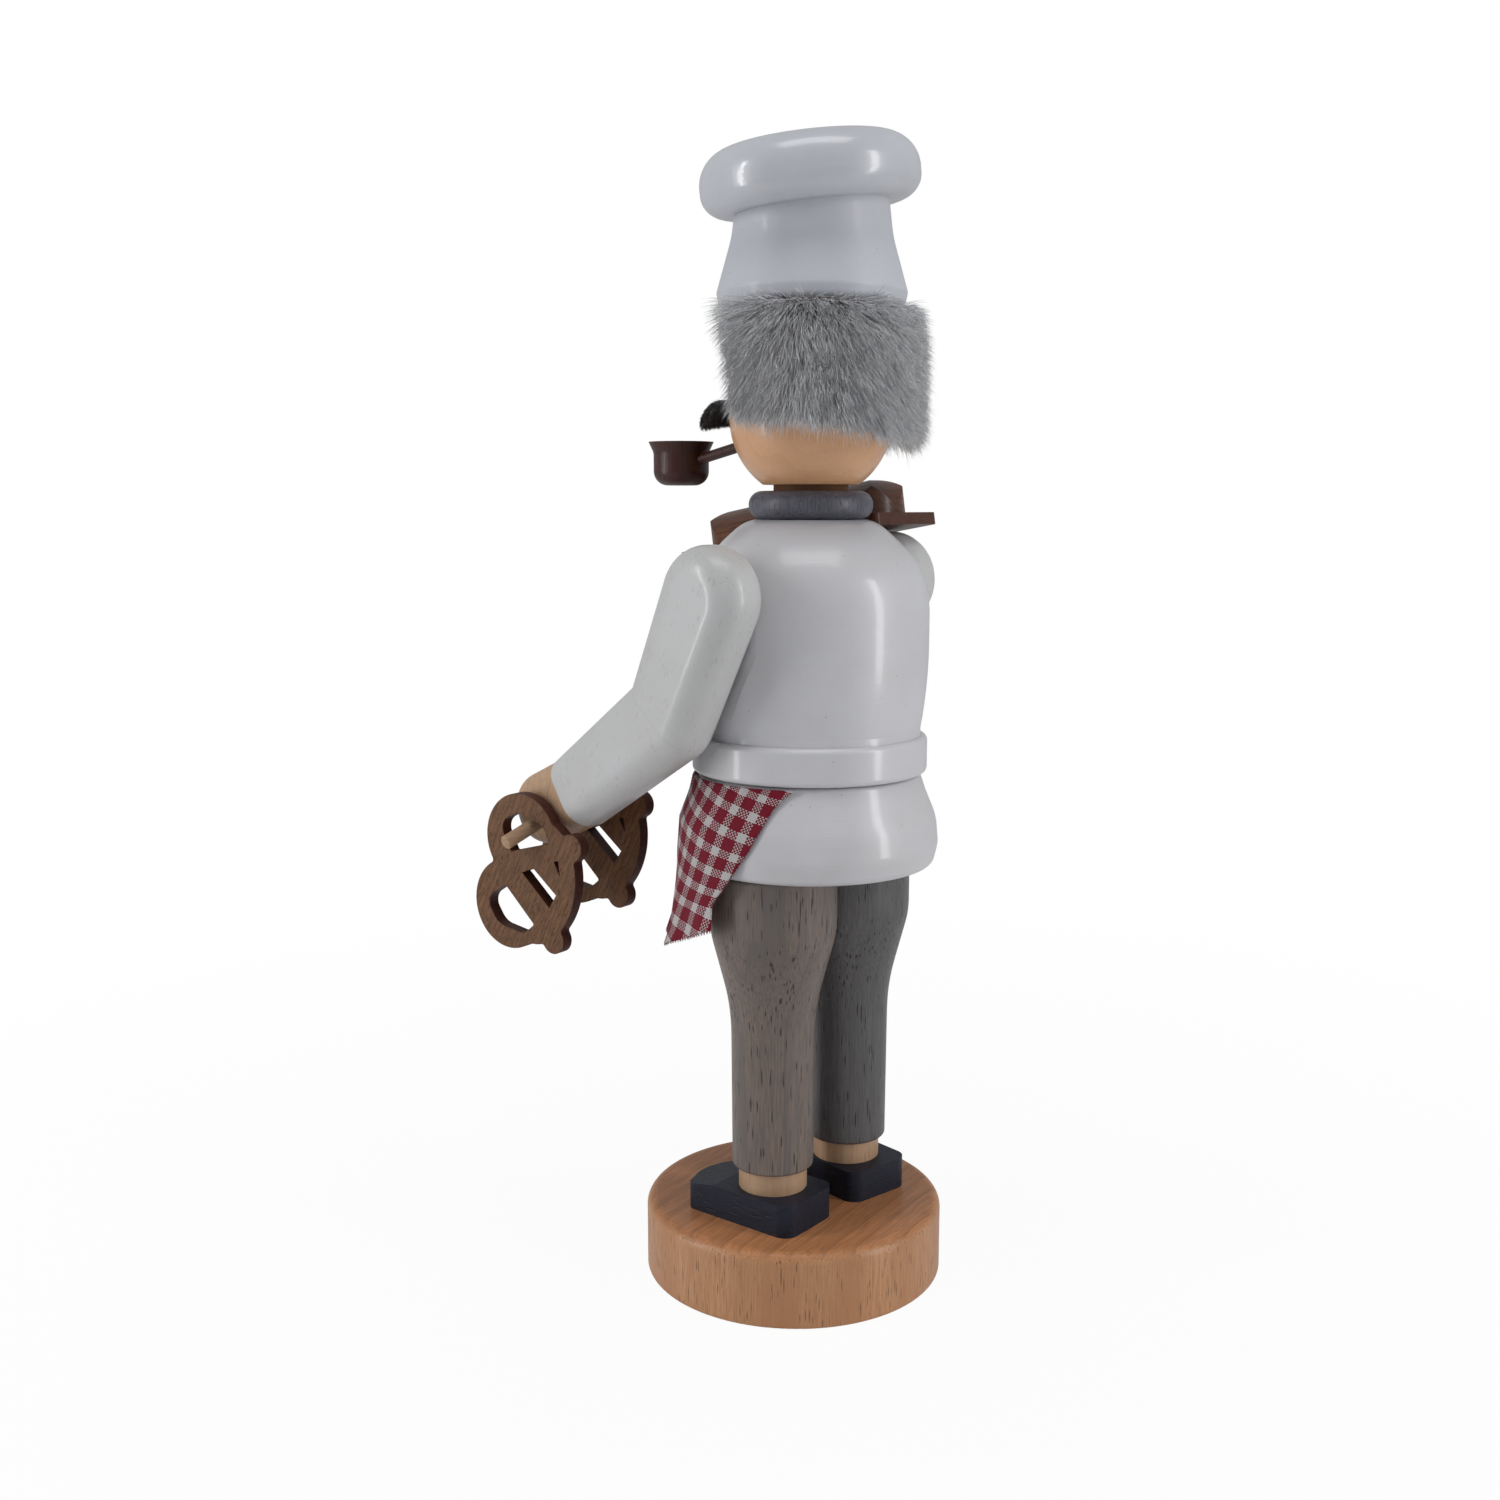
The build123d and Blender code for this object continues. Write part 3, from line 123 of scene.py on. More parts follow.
class BakerApron(bpy.types.PropertyGroup):
    red: colour_property("Red thread", "Dark red yarn", (0.19, 0.005, 0.020))
    white: colour_property("White thread", "Off white yarn", (0.60, 0.58, 0.575))
    check: length_property("Check", "One dark and one pale stripe together", 5.65)
    thickness: length_property("Thickness", "Thickness of the cloth", 0.34)
    width: length_property("Cut width", "Width of the cloth before it is hung", 116.0)
    length: length_property("Cut length", "Length of the cloth before it is hung", 41.3)
    fold: length_property("Fold depth", "How far the hem swings in and out", 1.1)
    bias: FloatProperty(
        name="Bias", description="Turn of the check on the cloth", default=radians(19), subtype="ANGLE"
    )
    fray: length_property("Fray", "Length of the loose threads at the edges", 0.45)
    seed: IntProperty(name="Seed", description="Seed of the loose threads", default=4, min=0)


class BakerFur(bpy.types.PropertyGroup):
    root: colour_property("Root", "Grey of the pile near the head", (0.53, 0.53, 0.56))
    tip: colour_property("Tip", "Pale grey of the strand tips", (1.0, 1.0, 1.0))
    length: length_property("Pile length", "Length of a strand", 7.9)
    radius: length_property("Strand radius", "Radius of a strand at its root", 0.105)
    clump: length_property("Clump", "Distance between the tufts", 1.7)
    count: IntProperty(name="Strands", description="Strands in each of the six strips", default=6600, min=1)
    seed: IntProperty(name="Seed", description="Seed of the strands", default=11, min=0)
    black: colour_property("Moustache", "Black pile of the moustache", (0.010, 0.009, 0.010))


class BakerStage(bpy.types.PropertyGroup):
    camera: FloatVectorProperty(
        name="Camera", description="Place of the camera", subtype="XYZ", size=3,
        default=(0.2818, 0.2557, 0.1858)
    )
    aim: FloatVectorProperty(
        name="Aim", description="Direction in which the camera looks", size=3,
        default=(-0.7131, -0.6847, -0.1504)
    )
    lens: FloatProperty(name="Lens", description="Focal length in millimetres", default=38.93, min=1)
    key: strength_property("Key light", "Watts of the softbox on the right", 1.75)
    fill: strength_property("Fill light", "Watts of the softbox on the left", 1.62)
    top: strength_property("Top light", "Watts of the softbox overhead", 1.0)
    sky: strength_property("Sky", "Strength of the even light of the room", 0.265)
    floor: colour_property("Floor", "Pale studio floor", (0.86, 0.86, 0.86))


# Short-hands for colours and node trees; a new node goes into the tree of the sockets that feed it


def shaded(colour, share):
    """Colour times one share, or times a share for each of red, green and blue."""
    shares = share if isinstance(share, tuple) else (share,) * 3
    return [part * own for part, own in zip(colour, shares)]


def rgba(colour, share=1.0):
    return (*shaded(colour, share), 1)


def feed(node, inputs):
    """Set values on a node's own sockets, and link the sockets of other nodes to them."""
    for key, value in inputs.items():
        if isinstance(value, bpy.types.NodeSocket):
            node.id_data.links.new(value, node.inputs[key])
        else:
            node.inputs[key].default_value = value


def add_node(tree, kind, inputs=None, **settings):
    made = tree.nodes.new(kind)
    for name, value in settings.items():
        setattr(made, name, value)
    feed(made, inputs or {})
    return made


def output(tree, kind, inputs=None, out=0, **settings):
    """Output socket of a new node."""
    return add_node(tree, kind, inputs, **settings).outputs[out]


def calc(operation, first, second=None, clamp=False):
    inputs = {0: first} if second is None else {0: first, 1: second}
    tree = (second if isinstance(first, float) else first).id_data
    return output(tree, "ShaderNodeMath", inputs, operation=operation, use_clamp=clamp)


def times(first, *others):
    for other in others:
        first = calc("MULTIPLY", first, other)
    return first


def vector_calc(operation, first, second=None, out=0):
    inputs = {0: first}
    if second is not None:
        inputs["Scale" if operation == "SCALE" else 1] = second
    return output(first.id_data, "ShaderNodeVectorMath", inputs, operation=operation, out=out)


def ramp(value, low, high, to_low=0.0, to_high=1.0):
    inputs = {"Value": value, "From Min": low, "From Max": high, "To Min": to_low, "To Max": to_high}
    return output(value.id_data, "ShaderNodeMapRange", inputs)


def tint(factor, first, second):
    """Mix of two colours."""
    inputs = {0: factor, 6: first, 7: second}
    return output(factor.id_data, "ShaderNodeMix", inputs, data_type="RGBA", out=2)


def noise(vector, scale, detail=2.0, out="Fac", rough=0.5):
    inputs = {"Vector": vector, "Scale": scale, "Detail": detail, "Roughness": rough}
    return output(vector.id_data, "ShaderNodeTexNoise", inputs, out=out)


def wander(vector, scale, detail=1.0):
    """Noise vector round zero."""
    return vector_calc("SUBTRACT", noise(vector, scale, detail, "Color"), (0.5, 0.5, 0.5))


def dots(cells, reach, rim):
    """1 near a random point in each cell: reach is how near, rim is the width of the soft edge."""
    inputs = {"Vector": cells, "Scale": 1.0}
    distance = output(cells.id_data, "ShaderNodeTexVoronoi", inputs, out="Distance")
    return ramp(calc("SUBTRACT", reach, distance), 0.0, rim)


def stretch(vector, scale=(1, 1, 1), turn=(0, 0, 0), move=(0, 0, 0)):
    inputs = {"Vector": vector, "Location": move, "Rotation": turn, "Scale": scale}
    return output(vector.id_data, "ShaderNodeMapping", inputs)


def split(vector):
    return add_node(vector.id_data, "ShaderNodeSeparateXYZ", {0: vector}).outputs


def object_place(tree):
    return output(tree, "ShaderNodeTexCoord", out="Object")


def facing(tree):
    return output(tree, "ShaderNodeNewGeometry", out="Normal")


def new_group(name, inputs, outputs, tree_kind="ShaderNodeTree", out_kind="Float"):
    """Node group: what comes in, and its last node. An input has a default or only a kind."""
    tree = bpy.data.node_groups.new(name, tree_kind)
    for label, given in inputs.items():
        kind = given if isinstance(given, str) else type(given).__name__.capitalize()
        socket = tree.interface.new_socket(label, in_out="INPUT", socket_type="NodeSocket" + kind)
        if kind != given:
            socket.default_value = given
    for label in outputs:
        tree.interface.new_socket(label, in_out="OUTPUT", socket_type="NodeSocket" + out_kind)
    return tree.nodes.new("NodeGroupInput").outputs, tree.nodes.new("NodeGroupOutput")


def place_group(name, inputs):
    tree = inputs["Vector"].id_data
    return add_node(tree, "ShaderNodeGroup", inputs, node_tree=bpy.data.node_groups[name]).outputs


# Effects that several finishes share


def build_wood_figure():
    """Growth rings, fibres, pores and slow colour changes of wood whose grain runs along Z."""
    inputs = {
        "Vector": "Vector", "Ring Width": 0.0026, "Waver": 0.006, "Pore Length": 0.0034,
        "Pore Width": 0.0008,
    }
    given, result = new_group("wood_figure", inputs, ("Rings", "Fibre", "Pores", "Cloud"))
    place = given["Vector"]
    along = stretch(place, (1, 1, 0.12))
    bend = vector_calc("SCALE", wander(along, 38, 2), given["Waver"])
    across = vector_calc("MULTIPLY", vector_calc("ADD", along, bend), (1, 1, 0))
    years = calc("DIVIDE", vector_calc("LENGTH", across, out=1), given["Ring Width"])
    saw = calc("FRACT", calc("ADD", years, times(noise(across, 150, 1), 1.6)))
    wide = given["Pore Width"]
    cell = output(place.id_data, "ShaderNodeCombineXYZ", {0: wide, 1: wide, 2: given["Pore Length"]})
    spread = ramp(noise(place, 240, 1), 0.35, 0.65, 0.12, 0.34)
    feed(result, {
        "Rings": times(calc("POWER", saw, 3.2), ramp(saw, 1.0, 0.95)),
        "Fibre": noise(stretch(place, (1, 1, 0.05)), 2700, 4, rough=0.65),
        "Pores": dots(vector_calc("DIVIDE", place, cell), spread, 0.10),
        "Cloud": noise(along, 70, 3),
    })


def build_turning_marks():
    """Fine rings that a turning tool leaves round an upright axis, as a height."""
    given, result = new_group("turning_marks", {"Vector": "Vector", "Groove": 0.00055}, ("Height",))
    place = given["Vector"]
    level = vector_calc("MULTIPLY", place, (0.02, 0.02, 1))
    grooves = noise(level, calc("DIVIDE", 1.0, given["Groove"]), 2)
    patchy = ramp(noise(place, 60, 2), 0.3, 0.7, 0.35, 1.0)
    skin = times(noise(place, 900, 2), 0.35)
    feed(result, {"Height": calc("ADD", times(grooves, patchy), skin)})


def build_edge_mask():
    """Where an edge of the piece is near: 1 on a sharp edge, 0 on a broad face."""
    given, result = new_group("edge_mask", {"Width": 0.0006, "Vector": "Vector"}, ("Edge",))
    tree = result.id_data
    softened = output(tree, "ShaderNodeBevel", {"Radius": given["Width"]}, samples=6)
    agree = vector_calc("DOT_PRODUCT", softened, facing(tree), out=1)
    bite = ramp(noise(given["Vector"], 1400, 3), 0.3, 0.7, 0.55, 1.25)
    edge = calc("MULTIPLY", ramp(agree, 0.995, 0.90), bite, clamp=True)
    feed(result, {"Edge": edge})


def build_specks():
    """Sparse small dark specks and faint handling marks on paint."""
    inputs = {"Vector": "Vector", "Size": 0.004, "Share": 0.06}
    given, result = new_group("specks", inputs, ("Specks", "Smudge"))
    cells = vector_calc("SCALE", given["Vector"], calc("DIVIDE", 1.0, given["Size"]))
    smudge = noise(given["Vector"], 45, 4, rough=0.6)
    feed(result, {"Specks": dots(cells, given["Share"], 0.03), "Smudge": smudge})


def new_finish(name):
    """Material with a Principled shader: the material, the shader and the object place."""
    material = bpy.data.materials.new(name)
    material.use_nodes = True
    tree = material.node_tree
    return material, tree.nodes["Principled BSDF"], object_place(tree)


def set_bump(shader, height, strength, distance):
    inputs = {"Height": height, "Strength": strength, "Distance": distance}
    feed(shader, {"Normal": output(shader.id_data, "ShaderNodeBump", inputs)})


def worn_edge(place, width, share):
    edge = place_group("edge_mask", {"Width": width, "Vector": place})["Edge"]
    return times(edge, share)


def grown_wood(
    name, colour, late, pore, gloss, turns=(), move=(0.011, 0.007, 0), rings=None, waver=0.006, pores=None,
    pore_width=0.8, pore_share=0.8, fibre=0.35, lift=0.18, patch=None, edge=None, edge_width=0.5,
    edge_share=0.6, coat=0.0, coat_rough=0.2, specular=0.4, relief=0.35
):
    """Stained or lacquered wood: the material, its shader and the colour that reaches it.

    late and pore darken the rings and the pores, gloss is the roughness, lift or patch the paler cloud;
    turns are in degrees; rings, pores, pore_width and edge_width are in millimetres.
    """
    size = bpy.context.scene.baker_wood
    material, shader, place = new_finish(name)
    turned = place
    for turn in turns:
        turned = stretch(turned, turn=[radians(angle) for angle in turn])
    figure = place_group("wood_figure", {
        "Vector": stretch(turned, move=move),
        "Ring Width": rings * MM if rings else size.ring_width,
        "Waver": waver,
        "Pore Length": pores * MM if pores else size.pore_length,
        "Pore Width": pore_width * MM,
    })
    grain, holes = figure["Fibre"], figure["Pores"]
    base, dark = rgba(colour), rgba(colour, 1 - late)
    light = patch or [min(1, c * (1 + lift)) for c in colour]
    body = tint(ramp(figure["Cloud"], 0.3, 0.7), base, rgba(light))
    body = tint(figure["Rings"], body, tint(grain, dark, base))
    body = tint(ramp(grain, 0.42, 0.62, 0.0, fibre), body, dark)
    body = tint(times(holes, pore_share), body, rgba(colour, 1 - pore))
    if edge:
        body = tint(worn_edge(place, edge_width * MM, edge_share), body, rgba(edge))
    feed(shader, {
        "Base Color": body,
        "Roughness": ramp(grain, 0.3, 0.7, gloss - 0.05, gloss + 0.08),
        "Coat Weight": coat,
        "Coat Roughness": coat_rough,
        "Specular IOR Level": specular,
    })
    height = calc("SUBTRACT", grain, times(holes, 1.4))
    set_bump(shader, height, relief, 0.08 * MM)
    return material, shader, body


def wood_finish(*given, **look):
    return grown_wood(*given, **look)[0]


# What is left of a colour's red, green and blue
# The base's top keeps these shares: it is painted darker and deeper than the rim, as painted shade on the
# top face
SHADED_TOP_SHARES = (0.84, 0.665, 0.53)
BROWN_SHARES = (0.78, 0.68, 0.60)
# Shares that darken pale wood into painted shade on the neck, between the head and the collar
NECK_SHADE_SHARES = (0.34, 0.26, 0.20)
WARM_SHARES = (0.93, 0.925, 0.90)


def lacquered_disc(name, wood):
    """Beech disc: growth lines run across the top, short upright dashes cover the turned rim; the top is
    painted darker than the rim, as painted shade.
    """
    level = ((0, 0, -11), (0, -90, 0))
    material, shader, body = grown_wood(
        name, shaded(wood.beech, SHADED_TOP_SHARES), late=0.52, pore=0.55, gloss=0.38, turns=level,
        move=(0, 0.082, 0), rings=5.6, waver=0.003, pore_share=0.35, fibre=0.45, coat=0.10,
        coat_rough=0.30, specular=0.3, lift=0.22
    )
    figure = place_group("wood_figure", {
        "Vector": object_place(shader.id_data), "Pore Width": 0.58 * MM, "Pore Length": 7.5 * MM
    })
    brown = rgba(wood.beech, BROWN_SHARES)
    rim = tint(ramp(figure["Cloud"], 0.35, 0.65), rgba(wood.beech, 1.05), brown)
    rim = tint(ramp(figure["Fibre"], 0.42, 0.62, 0.0, 1.0), rim, brown)
    rim = tint(times(figure["Pores"], 0.8), rim, rgba(wood.beech, 0.30))
    # upward faces take the darker top colour, which is painted shade; the rim keeps the brighter colour
    top = ramp(split(facing(shader.id_data))[2], 0.45, 0.85)
    feed(shader, {"Base Color": tint(top, rim, body)})
    return material


def sawn_finish(name, colour, wall, gloss, face, **look):
    """Wood of a flat sawn piece whose sawn walls are another colour than its broad faces."""
    material, shader, body = grown_wood(name, colour, late=0.38, pore=0.6, gloss=gloss, **look)
    tree = shader.id_data
    local = output(
        tree, "ShaderNodeVectorTransform", {0: facing(tree)},
        vector_type="NORMAL", convert_from="WORLD", convert_to="OBJECT"
    )
    share = calc("ABSOLUTE", vector_calc("DOT_PRODUCT", local, face, out=1))
    grime = noise(object_place(tree), 520, 3)
    dark = tint(grime, rgba(wall, 0.45), rgba(wall, 1.3))
    feed(shader, {"Base Color": tint(ramp(share, 0.75, 0.45), body, dark)})
    return material


# Unpainted wood: how far it reaches from the body's axis, below which height, and above which one
SKIRT_BARE = (14 * MM, WAIST_Z, WAIST_Z + 0.5 * MM)
CHAMBER_BARE = (21 * MM, WAIST_Z + 41 * MM)


def bare_mask(place, reach, roof, floor=None):
    """1 on the unpainted wood: nearer than reach to the body's axis and below roof, or above floor."""
    offset = vector_calc("SUBTRACT", place, (0, BODY_Y, 0))
    from_axis = vector_calc("MULTIPLY", offset, (1, 1, 0))
    near = calc("LESS_THAN", vector_calc("LENGTH", from_axis, out=1), reach)
    height = split(place)[2]
    bare = times(near, calc("LESS_THAN", height, roof))
    if floor is not None:
        bare = calc("MAXIMUM", bare, calc("GREATER_THAN", height, floor))
    return bare


def paint_finish(name, colour, gloss, coat, marks, grain=0.0, speck_share=0.05, bare=None):
    """White paint over turned or sawn wood; bare holds the sizes of the part that stays unpainted."""
    groove = bpy.context.scene.baker_paint.groove
    material, shader, place = new_finish(name)
    specks = place_group("specks", {"Vector": place, "Share": speck_share})
    warm = rgba(colour, WARM_SHARES)
    body = tint(ramp(specks["Smudge"], 0.4, 0.75), rgba(colour), warm)
    body = tint(times(specks["Specks"], 0.65), body, (0.10, 0.085, 0.08, 1))
    turning = place_group("turning_marks", {"Vector": place, "Groove": groove})["Height"]
    height = times(turning, marks)
    if grain:
        turned = stretch(place, turn=(radians(25), 0, 0))
        figure = place_group("wood_figure", {"Vector": turned})
        streak = times(figure["Pores"], grain)
        body = tint(times(streak, 0.28), body, (0.22, 0.17, 0.14, 1))
        body = tint(ramp(figure["Fibre"], 0.45, 0.75, 0.0, 0.3), body, warm)
        height = calc("ADD", height, times(figure["Fibre"], grain))
        height = calc("SUBTRACT", height, streak)
    body = tint(worn_edge(place, 0.35 * MM, 0.22), body, (0.30, 0.24, 0.20, 1))
    rough = ramp(specks["Smudge"], 0.3, 0.8, gloss, gloss + 0.10)
    feed(shader, {"Coat Weight": coat, "Coat Roughness": 0.12})
    if bare:
        inside = bare_mask(place, *bare)
        pale = bpy.context.scene.baker_wood.pale
        soot = ramp(noise(place, 120, 3), 0.35, 0.75, 0.0, 0.7)
        fibre = noise(stretch(place, (1, 1, 0.05)), 1500, 3)
        raw = tint(fibre, rgba(pale), rgba(pale, 0.7))
        body = tint(inside, body, tint(soot, raw, (0.10, 0.055, 0.03, 1)))
        rough = ramp(inside, 0.0, 1.0, rough, 0.75)
        feed(shader, {"Coat Weight": ramp(inside, 0.0, 1.0, coat, 0.0)})
    feed(shader, {"Base Color": body, "Roughness": rough})
    set_bump(shader, height, 0.45, 0.06 * MM)
    return material


def gloss_black(name, colour):
    """Thick black gloss paint on small pieces."""
    material, shader, place = new_finish(name)
    shade = noise(place, 700, 2)
    feed(shader, {
        "Base Color": tint(shade, rgba(colour), rgba(colour, 2.2)),
        "Roughness": ramp(shade, 0.3, 0.7, 0.16, 0.28),
    })
    set_bump(shader, shade, 0.15, 0.05 * MM)
    return material


def sheet_metal(name, colour):
    """Dull pressed brass with soot from the cone and fine scratches."""
    material, shader, place = new_finish(name)
    soot = ramp(noise(place, 160, 4), 0.45, 0.75)
    scratch = noise(stretch(place, (1, 0.06, 1), (0, 0, radians(35))), 4200, 2)
    feed(shader, {
        "Base Color": tint(soot, rgba(colour), rgba(colour, 0.3)),
        "Metallic": 1.0,
        "Roughness": ramp(scratch, 0.3, 0.7, 0.28, 0.48),
    })
    set_bump(shader, scratch, 0.2, 0.03 * MM)
    return material


def dress(material, *names):
    """Give CAD nodes a finish; their meshes stay as they are."""
    for name in names:
        piece = NODES[name]
        if not piece.material_slots:
            piece.data.materials.append(material)
        for slot in piece.material_slots:
            slot.material = material


def new_object(name, data):
    made = bpy.data.objects.new(name, data)
    bpy.context.scene.collection.objects.link(made)
    return made


def mesh_object(name, mesh, material):
    mesh.materials.clear()
    mesh.materials.append(material)
    return new_object(name, mesh)


def stain(pieces, *given, finish=wood_finish, **look):
    """Make a finish for the pieces that are named in one string."""
    dress(finish(*given, **look), *pieces.split())


class BAKER_OT_turned_paint(bpy.types.Operator):
    """Paint the jacket, the hat and the sleeves white, and the buttons and eyes black"""

    bl_idname = "baker.turned_paint"
    bl_label = "Paint jacket and hat"

    def execute(self, context):
        paint = context.scene.baker_paint
        build_turning_marks()
        build_specks()
        jacket = {"gloss": 0.34, "coat": 0.35, "marks": 1.8}
        dress(paint_finish("skirt_white", paint.jacket, bare=SKIRT_BARE, **jacket), "jacket_skirt")
        dress(paint_finish("jacket_white", paint.jacket, bare=CHAMBER_BARE, **jacket), "torso")
        dress(paint_finish("hat_band_white", paint.hat, gloss=0.46, coat=0.10, marks=0.8), "hat_band")
        dress(paint_finish("hat_crown_white", paint.hat, gloss=0.27, coat=0.50, marks=1.5), "hat_crown")
        stain(
            "upper_arm_left forearm_left upper_arm_right forearm_right", "sleeve_white", paint.sleeve,
            gloss=0.36, coat=0.22, marks=0.5, grain=0.6, speck_share=0.045, finish=paint_finish
        )
        dress(gloss_black("button_black", paint.black), "jacket_buttons", "eyes")
        return {"FINISHED"}


class BAKER_OT_stained_wood(bpy.types.Operator):
    """Give each bare or stained wooden piece its grain and colour, and the incense plate its metal"""

    bl_idname = "baker.stained_wood"
    bl_label = "Stain the wood"

    def execute(self, context):
        wood = context.scene.baker_wood
        build_wood_figure()
        build_edge_mask()
        self.bare_wood(wood)
        self.dark_wood(wood)
        dress(sheet_metal("plate_brass", (0.55, 0.42, 0.20)), "incense_plate")
        dress(sheet_metal("tack_brass", (0.60, 0.45, 0.22)), "plate_tack")
        return {"FINISHED"}

    def bare_wood(self, wood):
        dress(lacquered_disc("base_lacquer", wood), "base_disc")
        stain(
            "head nose", "head_wood", wood.head, late=0.10, pore=0.22, gloss=0.34, rings=3.2,
            pore_share=0.3, fibre=0.3, coat=0.35, lift=0.1
        )
        stain(
            "ankle_left ankle_right hand_left hand_right", "limb_wood", wood.pale, late=0.14, pore=0.35,
            gloss=0.42, rings=1.9, pore_share=0.5, fibre=0.3, coat=0.1
        )
        stain(
            "pretzel_rod", "dowel_wood", shaded(wood.pale, 0.86), late=0.22, pore=0.4, gloss=0.55,
            turns=((0, 90, 0),), rings=1.4
        )
        stain(
            "hat_dowel shoulder_dowels elbow_dowels wrist_dowels board_pins", "hidden_wood", wood.pale,
            late=0.2, pore=0.4, gloss=0.6
        )
        # The neck sleeve is stained dark brown as painted shade in the gap between the head and the collar
        stain(
            "neck_sleeve", "smoked_wood", shaded(wood.pale, NECK_SHADE_SHARES), late=0.2, pore=0.4, gloss=0.7,
            specular=0.2
        )

    def dark_wood(self, wood):
        worn = {
            "late": 0.25, "gloss": 0.42, "coat": 0.12, "pore_width": 0.65, "pore_share": 0.9, "fibre": 0.85,
            "relief": 1.0,
        }
        stain("leg_left", "trouser_left", wood.trousers, pore=0.82, patch=(0.245, 0.172, 0.130), **worn)
        stain(
            "leg_right", "trouser_right", wood.trousers_right, pore=0.8, move=(0.03, -0.02, 0.1),
            lift=0.3, **worn
        )
        stain(
            "shoe_left shoe_right", "shoe_stain", wood.shoes, late=0.35, pore=0.3, gloss=0.46,
            turns=((90, 0, 20),), rings=2.2, lift=0.4, fibre=0.5, relief=0.6,
            edge=shaded(wood.shoes, 1.9), edge_share=0.4, specular=0.28
        )
        stain(
            "collar", "collar_stain", wood.collar, late=0.4, pore=0.6, gloss=0.42, coat=0.08, lift=0.5,
            fibre=0.9, relief=0.9
        )
        stain(
            "pipe_bowl pipe_stem", "pipe_stain", wood.pipe, late=0.4, pore=0.6, gloss=0.38, coat=0.12,
            specular=0.3, lift=0.5, rings=1.1, relief=0.5, edge=shaded(wood.pipe, 2.2), edge_share=0.5
        )
        stain(
            "pretzel_outer pretzel_inner", "pretzel_stain", wood.pretzel, wall=(0.085, 0.026, 0.016),
            gloss=0.50, face=(0.988, 0.156, 0), turns=((28, 0, 0),), rings=1.5, pores=2.4,
            pore_width=0.45, lift=0.5, fibre=0.9, relief=0.9, specular=0.22, edge=(0.095, 0.034, 0.018),
            edge_width=0.55, edge_share=0.7, finish=sawn_finish
        )
        slope = ((81, 0, 0),)
        stain(
            "bread_board", "board_stain", wood.board, wall=(0.085, 0.028, 0.015), gloss=0.42,
            face=(0, -0.16, 0.987), turns=slope, rings=2.0, lift=0.4, fibre=0.6, coat=0.15, specular=0.25,
            edge=(0.26, 0.13, 0.08), edge_share=0.5, finish=sawn_finish
        )
        stain(
            "loaf", "crust_stain", wood.loaf, late=0.45, pore=0.6, gloss=0.36, turns=slope, rings=1.8,
            patch=(0.27, 0.088, 0.026), fibre=0.6, coat=0.2, specular=0.25, edge=shaded(wood.loaf, 0.6),
            edge_width=0.9
        )


# Apron cloth, in millimetres and degrees: the turn of its side edge at each share of the drop, the
# reach of the surface it hangs on at each height under the waist, and the line of its hem
APRON_EDGE = ((0.0, 125.0), (0.06, 119.5), (0.133, 115.0), (0.4, 106.5), (0.82, 89.5), (1.0, 90.0))
APRON_REACH = (
    (-40.9, 34.6), (-35.9, 32.9), (-26.9, 31.9), (-21.8, 31.3), (-17.0, 30.95), (-11.0, 30.5),
    (-4.4, 28.0), (-0.6, 26.75),
)
APRON_TUCK = 0.6
APRON_HEM_FRONT = 40.9
APRON_HEM_TIP = 0.8
APRON_HEM_SIDE = 7.2
APRON_TIP_SHARE = 0.64
FOLDS_FROM = 17
FOLDS_FULL_AFTER = 20
CORNER_LIFT = 0.9 * MM
GATHER = 0.22 * MM

# Radius, in millimetres, at which the width of the cloth is measured for its UV map
CLOTH_RADIUS = 30

# Weave of the check: yarns in one repeat, the share of them that is red, and how far the yarn that
# lies on top and the thicker red yarn stand up
YARNS = 12
RED_SHARE = 0.58
TOP_LIFT = 0.60
RED_LIFT = 0.50


def between(table, value):
    """Value read from a table of (place, value) pairs, straight between its rows."""
    if value <= table[0][0]:
        return table[0][1]
    for (start, first), (end, last) in zip(table, table[1:]):
        if value <= end:
            return first + (last - first) * (value - start) / (end - start)
    return table[-1][1]


def smooth(value):
    value = min(1.0, max(0.0, value))
    return value * value * (3 - 2 * value)


def apron_point(across, down, fold):
    """Point of the cloth, in metres: across from -1 to 1, down from 0 at the waist to 1 at the hem."""
    side = abs(across)
    rise = APRON_HEM_TIP * (side / APRON_TIP_SHARE) ** 2
    if side > APRON_TIP_SHARE:
        rise = APRON_HEM_TIP + (side - APRON_TIP_SHARE) / (1 - APRON_TIP_SHARE) * APRON_HEM_SIDE
    drop = APRON_TUCK + down * (APRON_HEM_FRONT - APRON_TUCK - rise)
    turn = radians(across * between(APRON_EDGE, down))
    reach = between(APRON_REACH, -drop) * MM
    free = smooth((drop - FOLDS_FROM) / FOLDS_FULL_AFTER)
    reach += fold * free * (sin(turn * 8.0 - 1.45) * 0.6 + sin(turn * 13.0 + 0.2 + down * 0.8) * 0.4)
    gather = (1 - smooth(drop / 6)) * smooth(drop / 1.2)
    reach += GATHER * gather * (1 + sin(turn * 31.0 + 3 * sin(turn * 7.0)))
    # the free corner lifts a little off the trousers
    reach += CORNER_LIFT * free * smooth((side - 0.8) / 0.2)
    return Vector((reach * sin(turn), BODY_Y - reach * cos(turn), WAIST_Z - drop * MM))


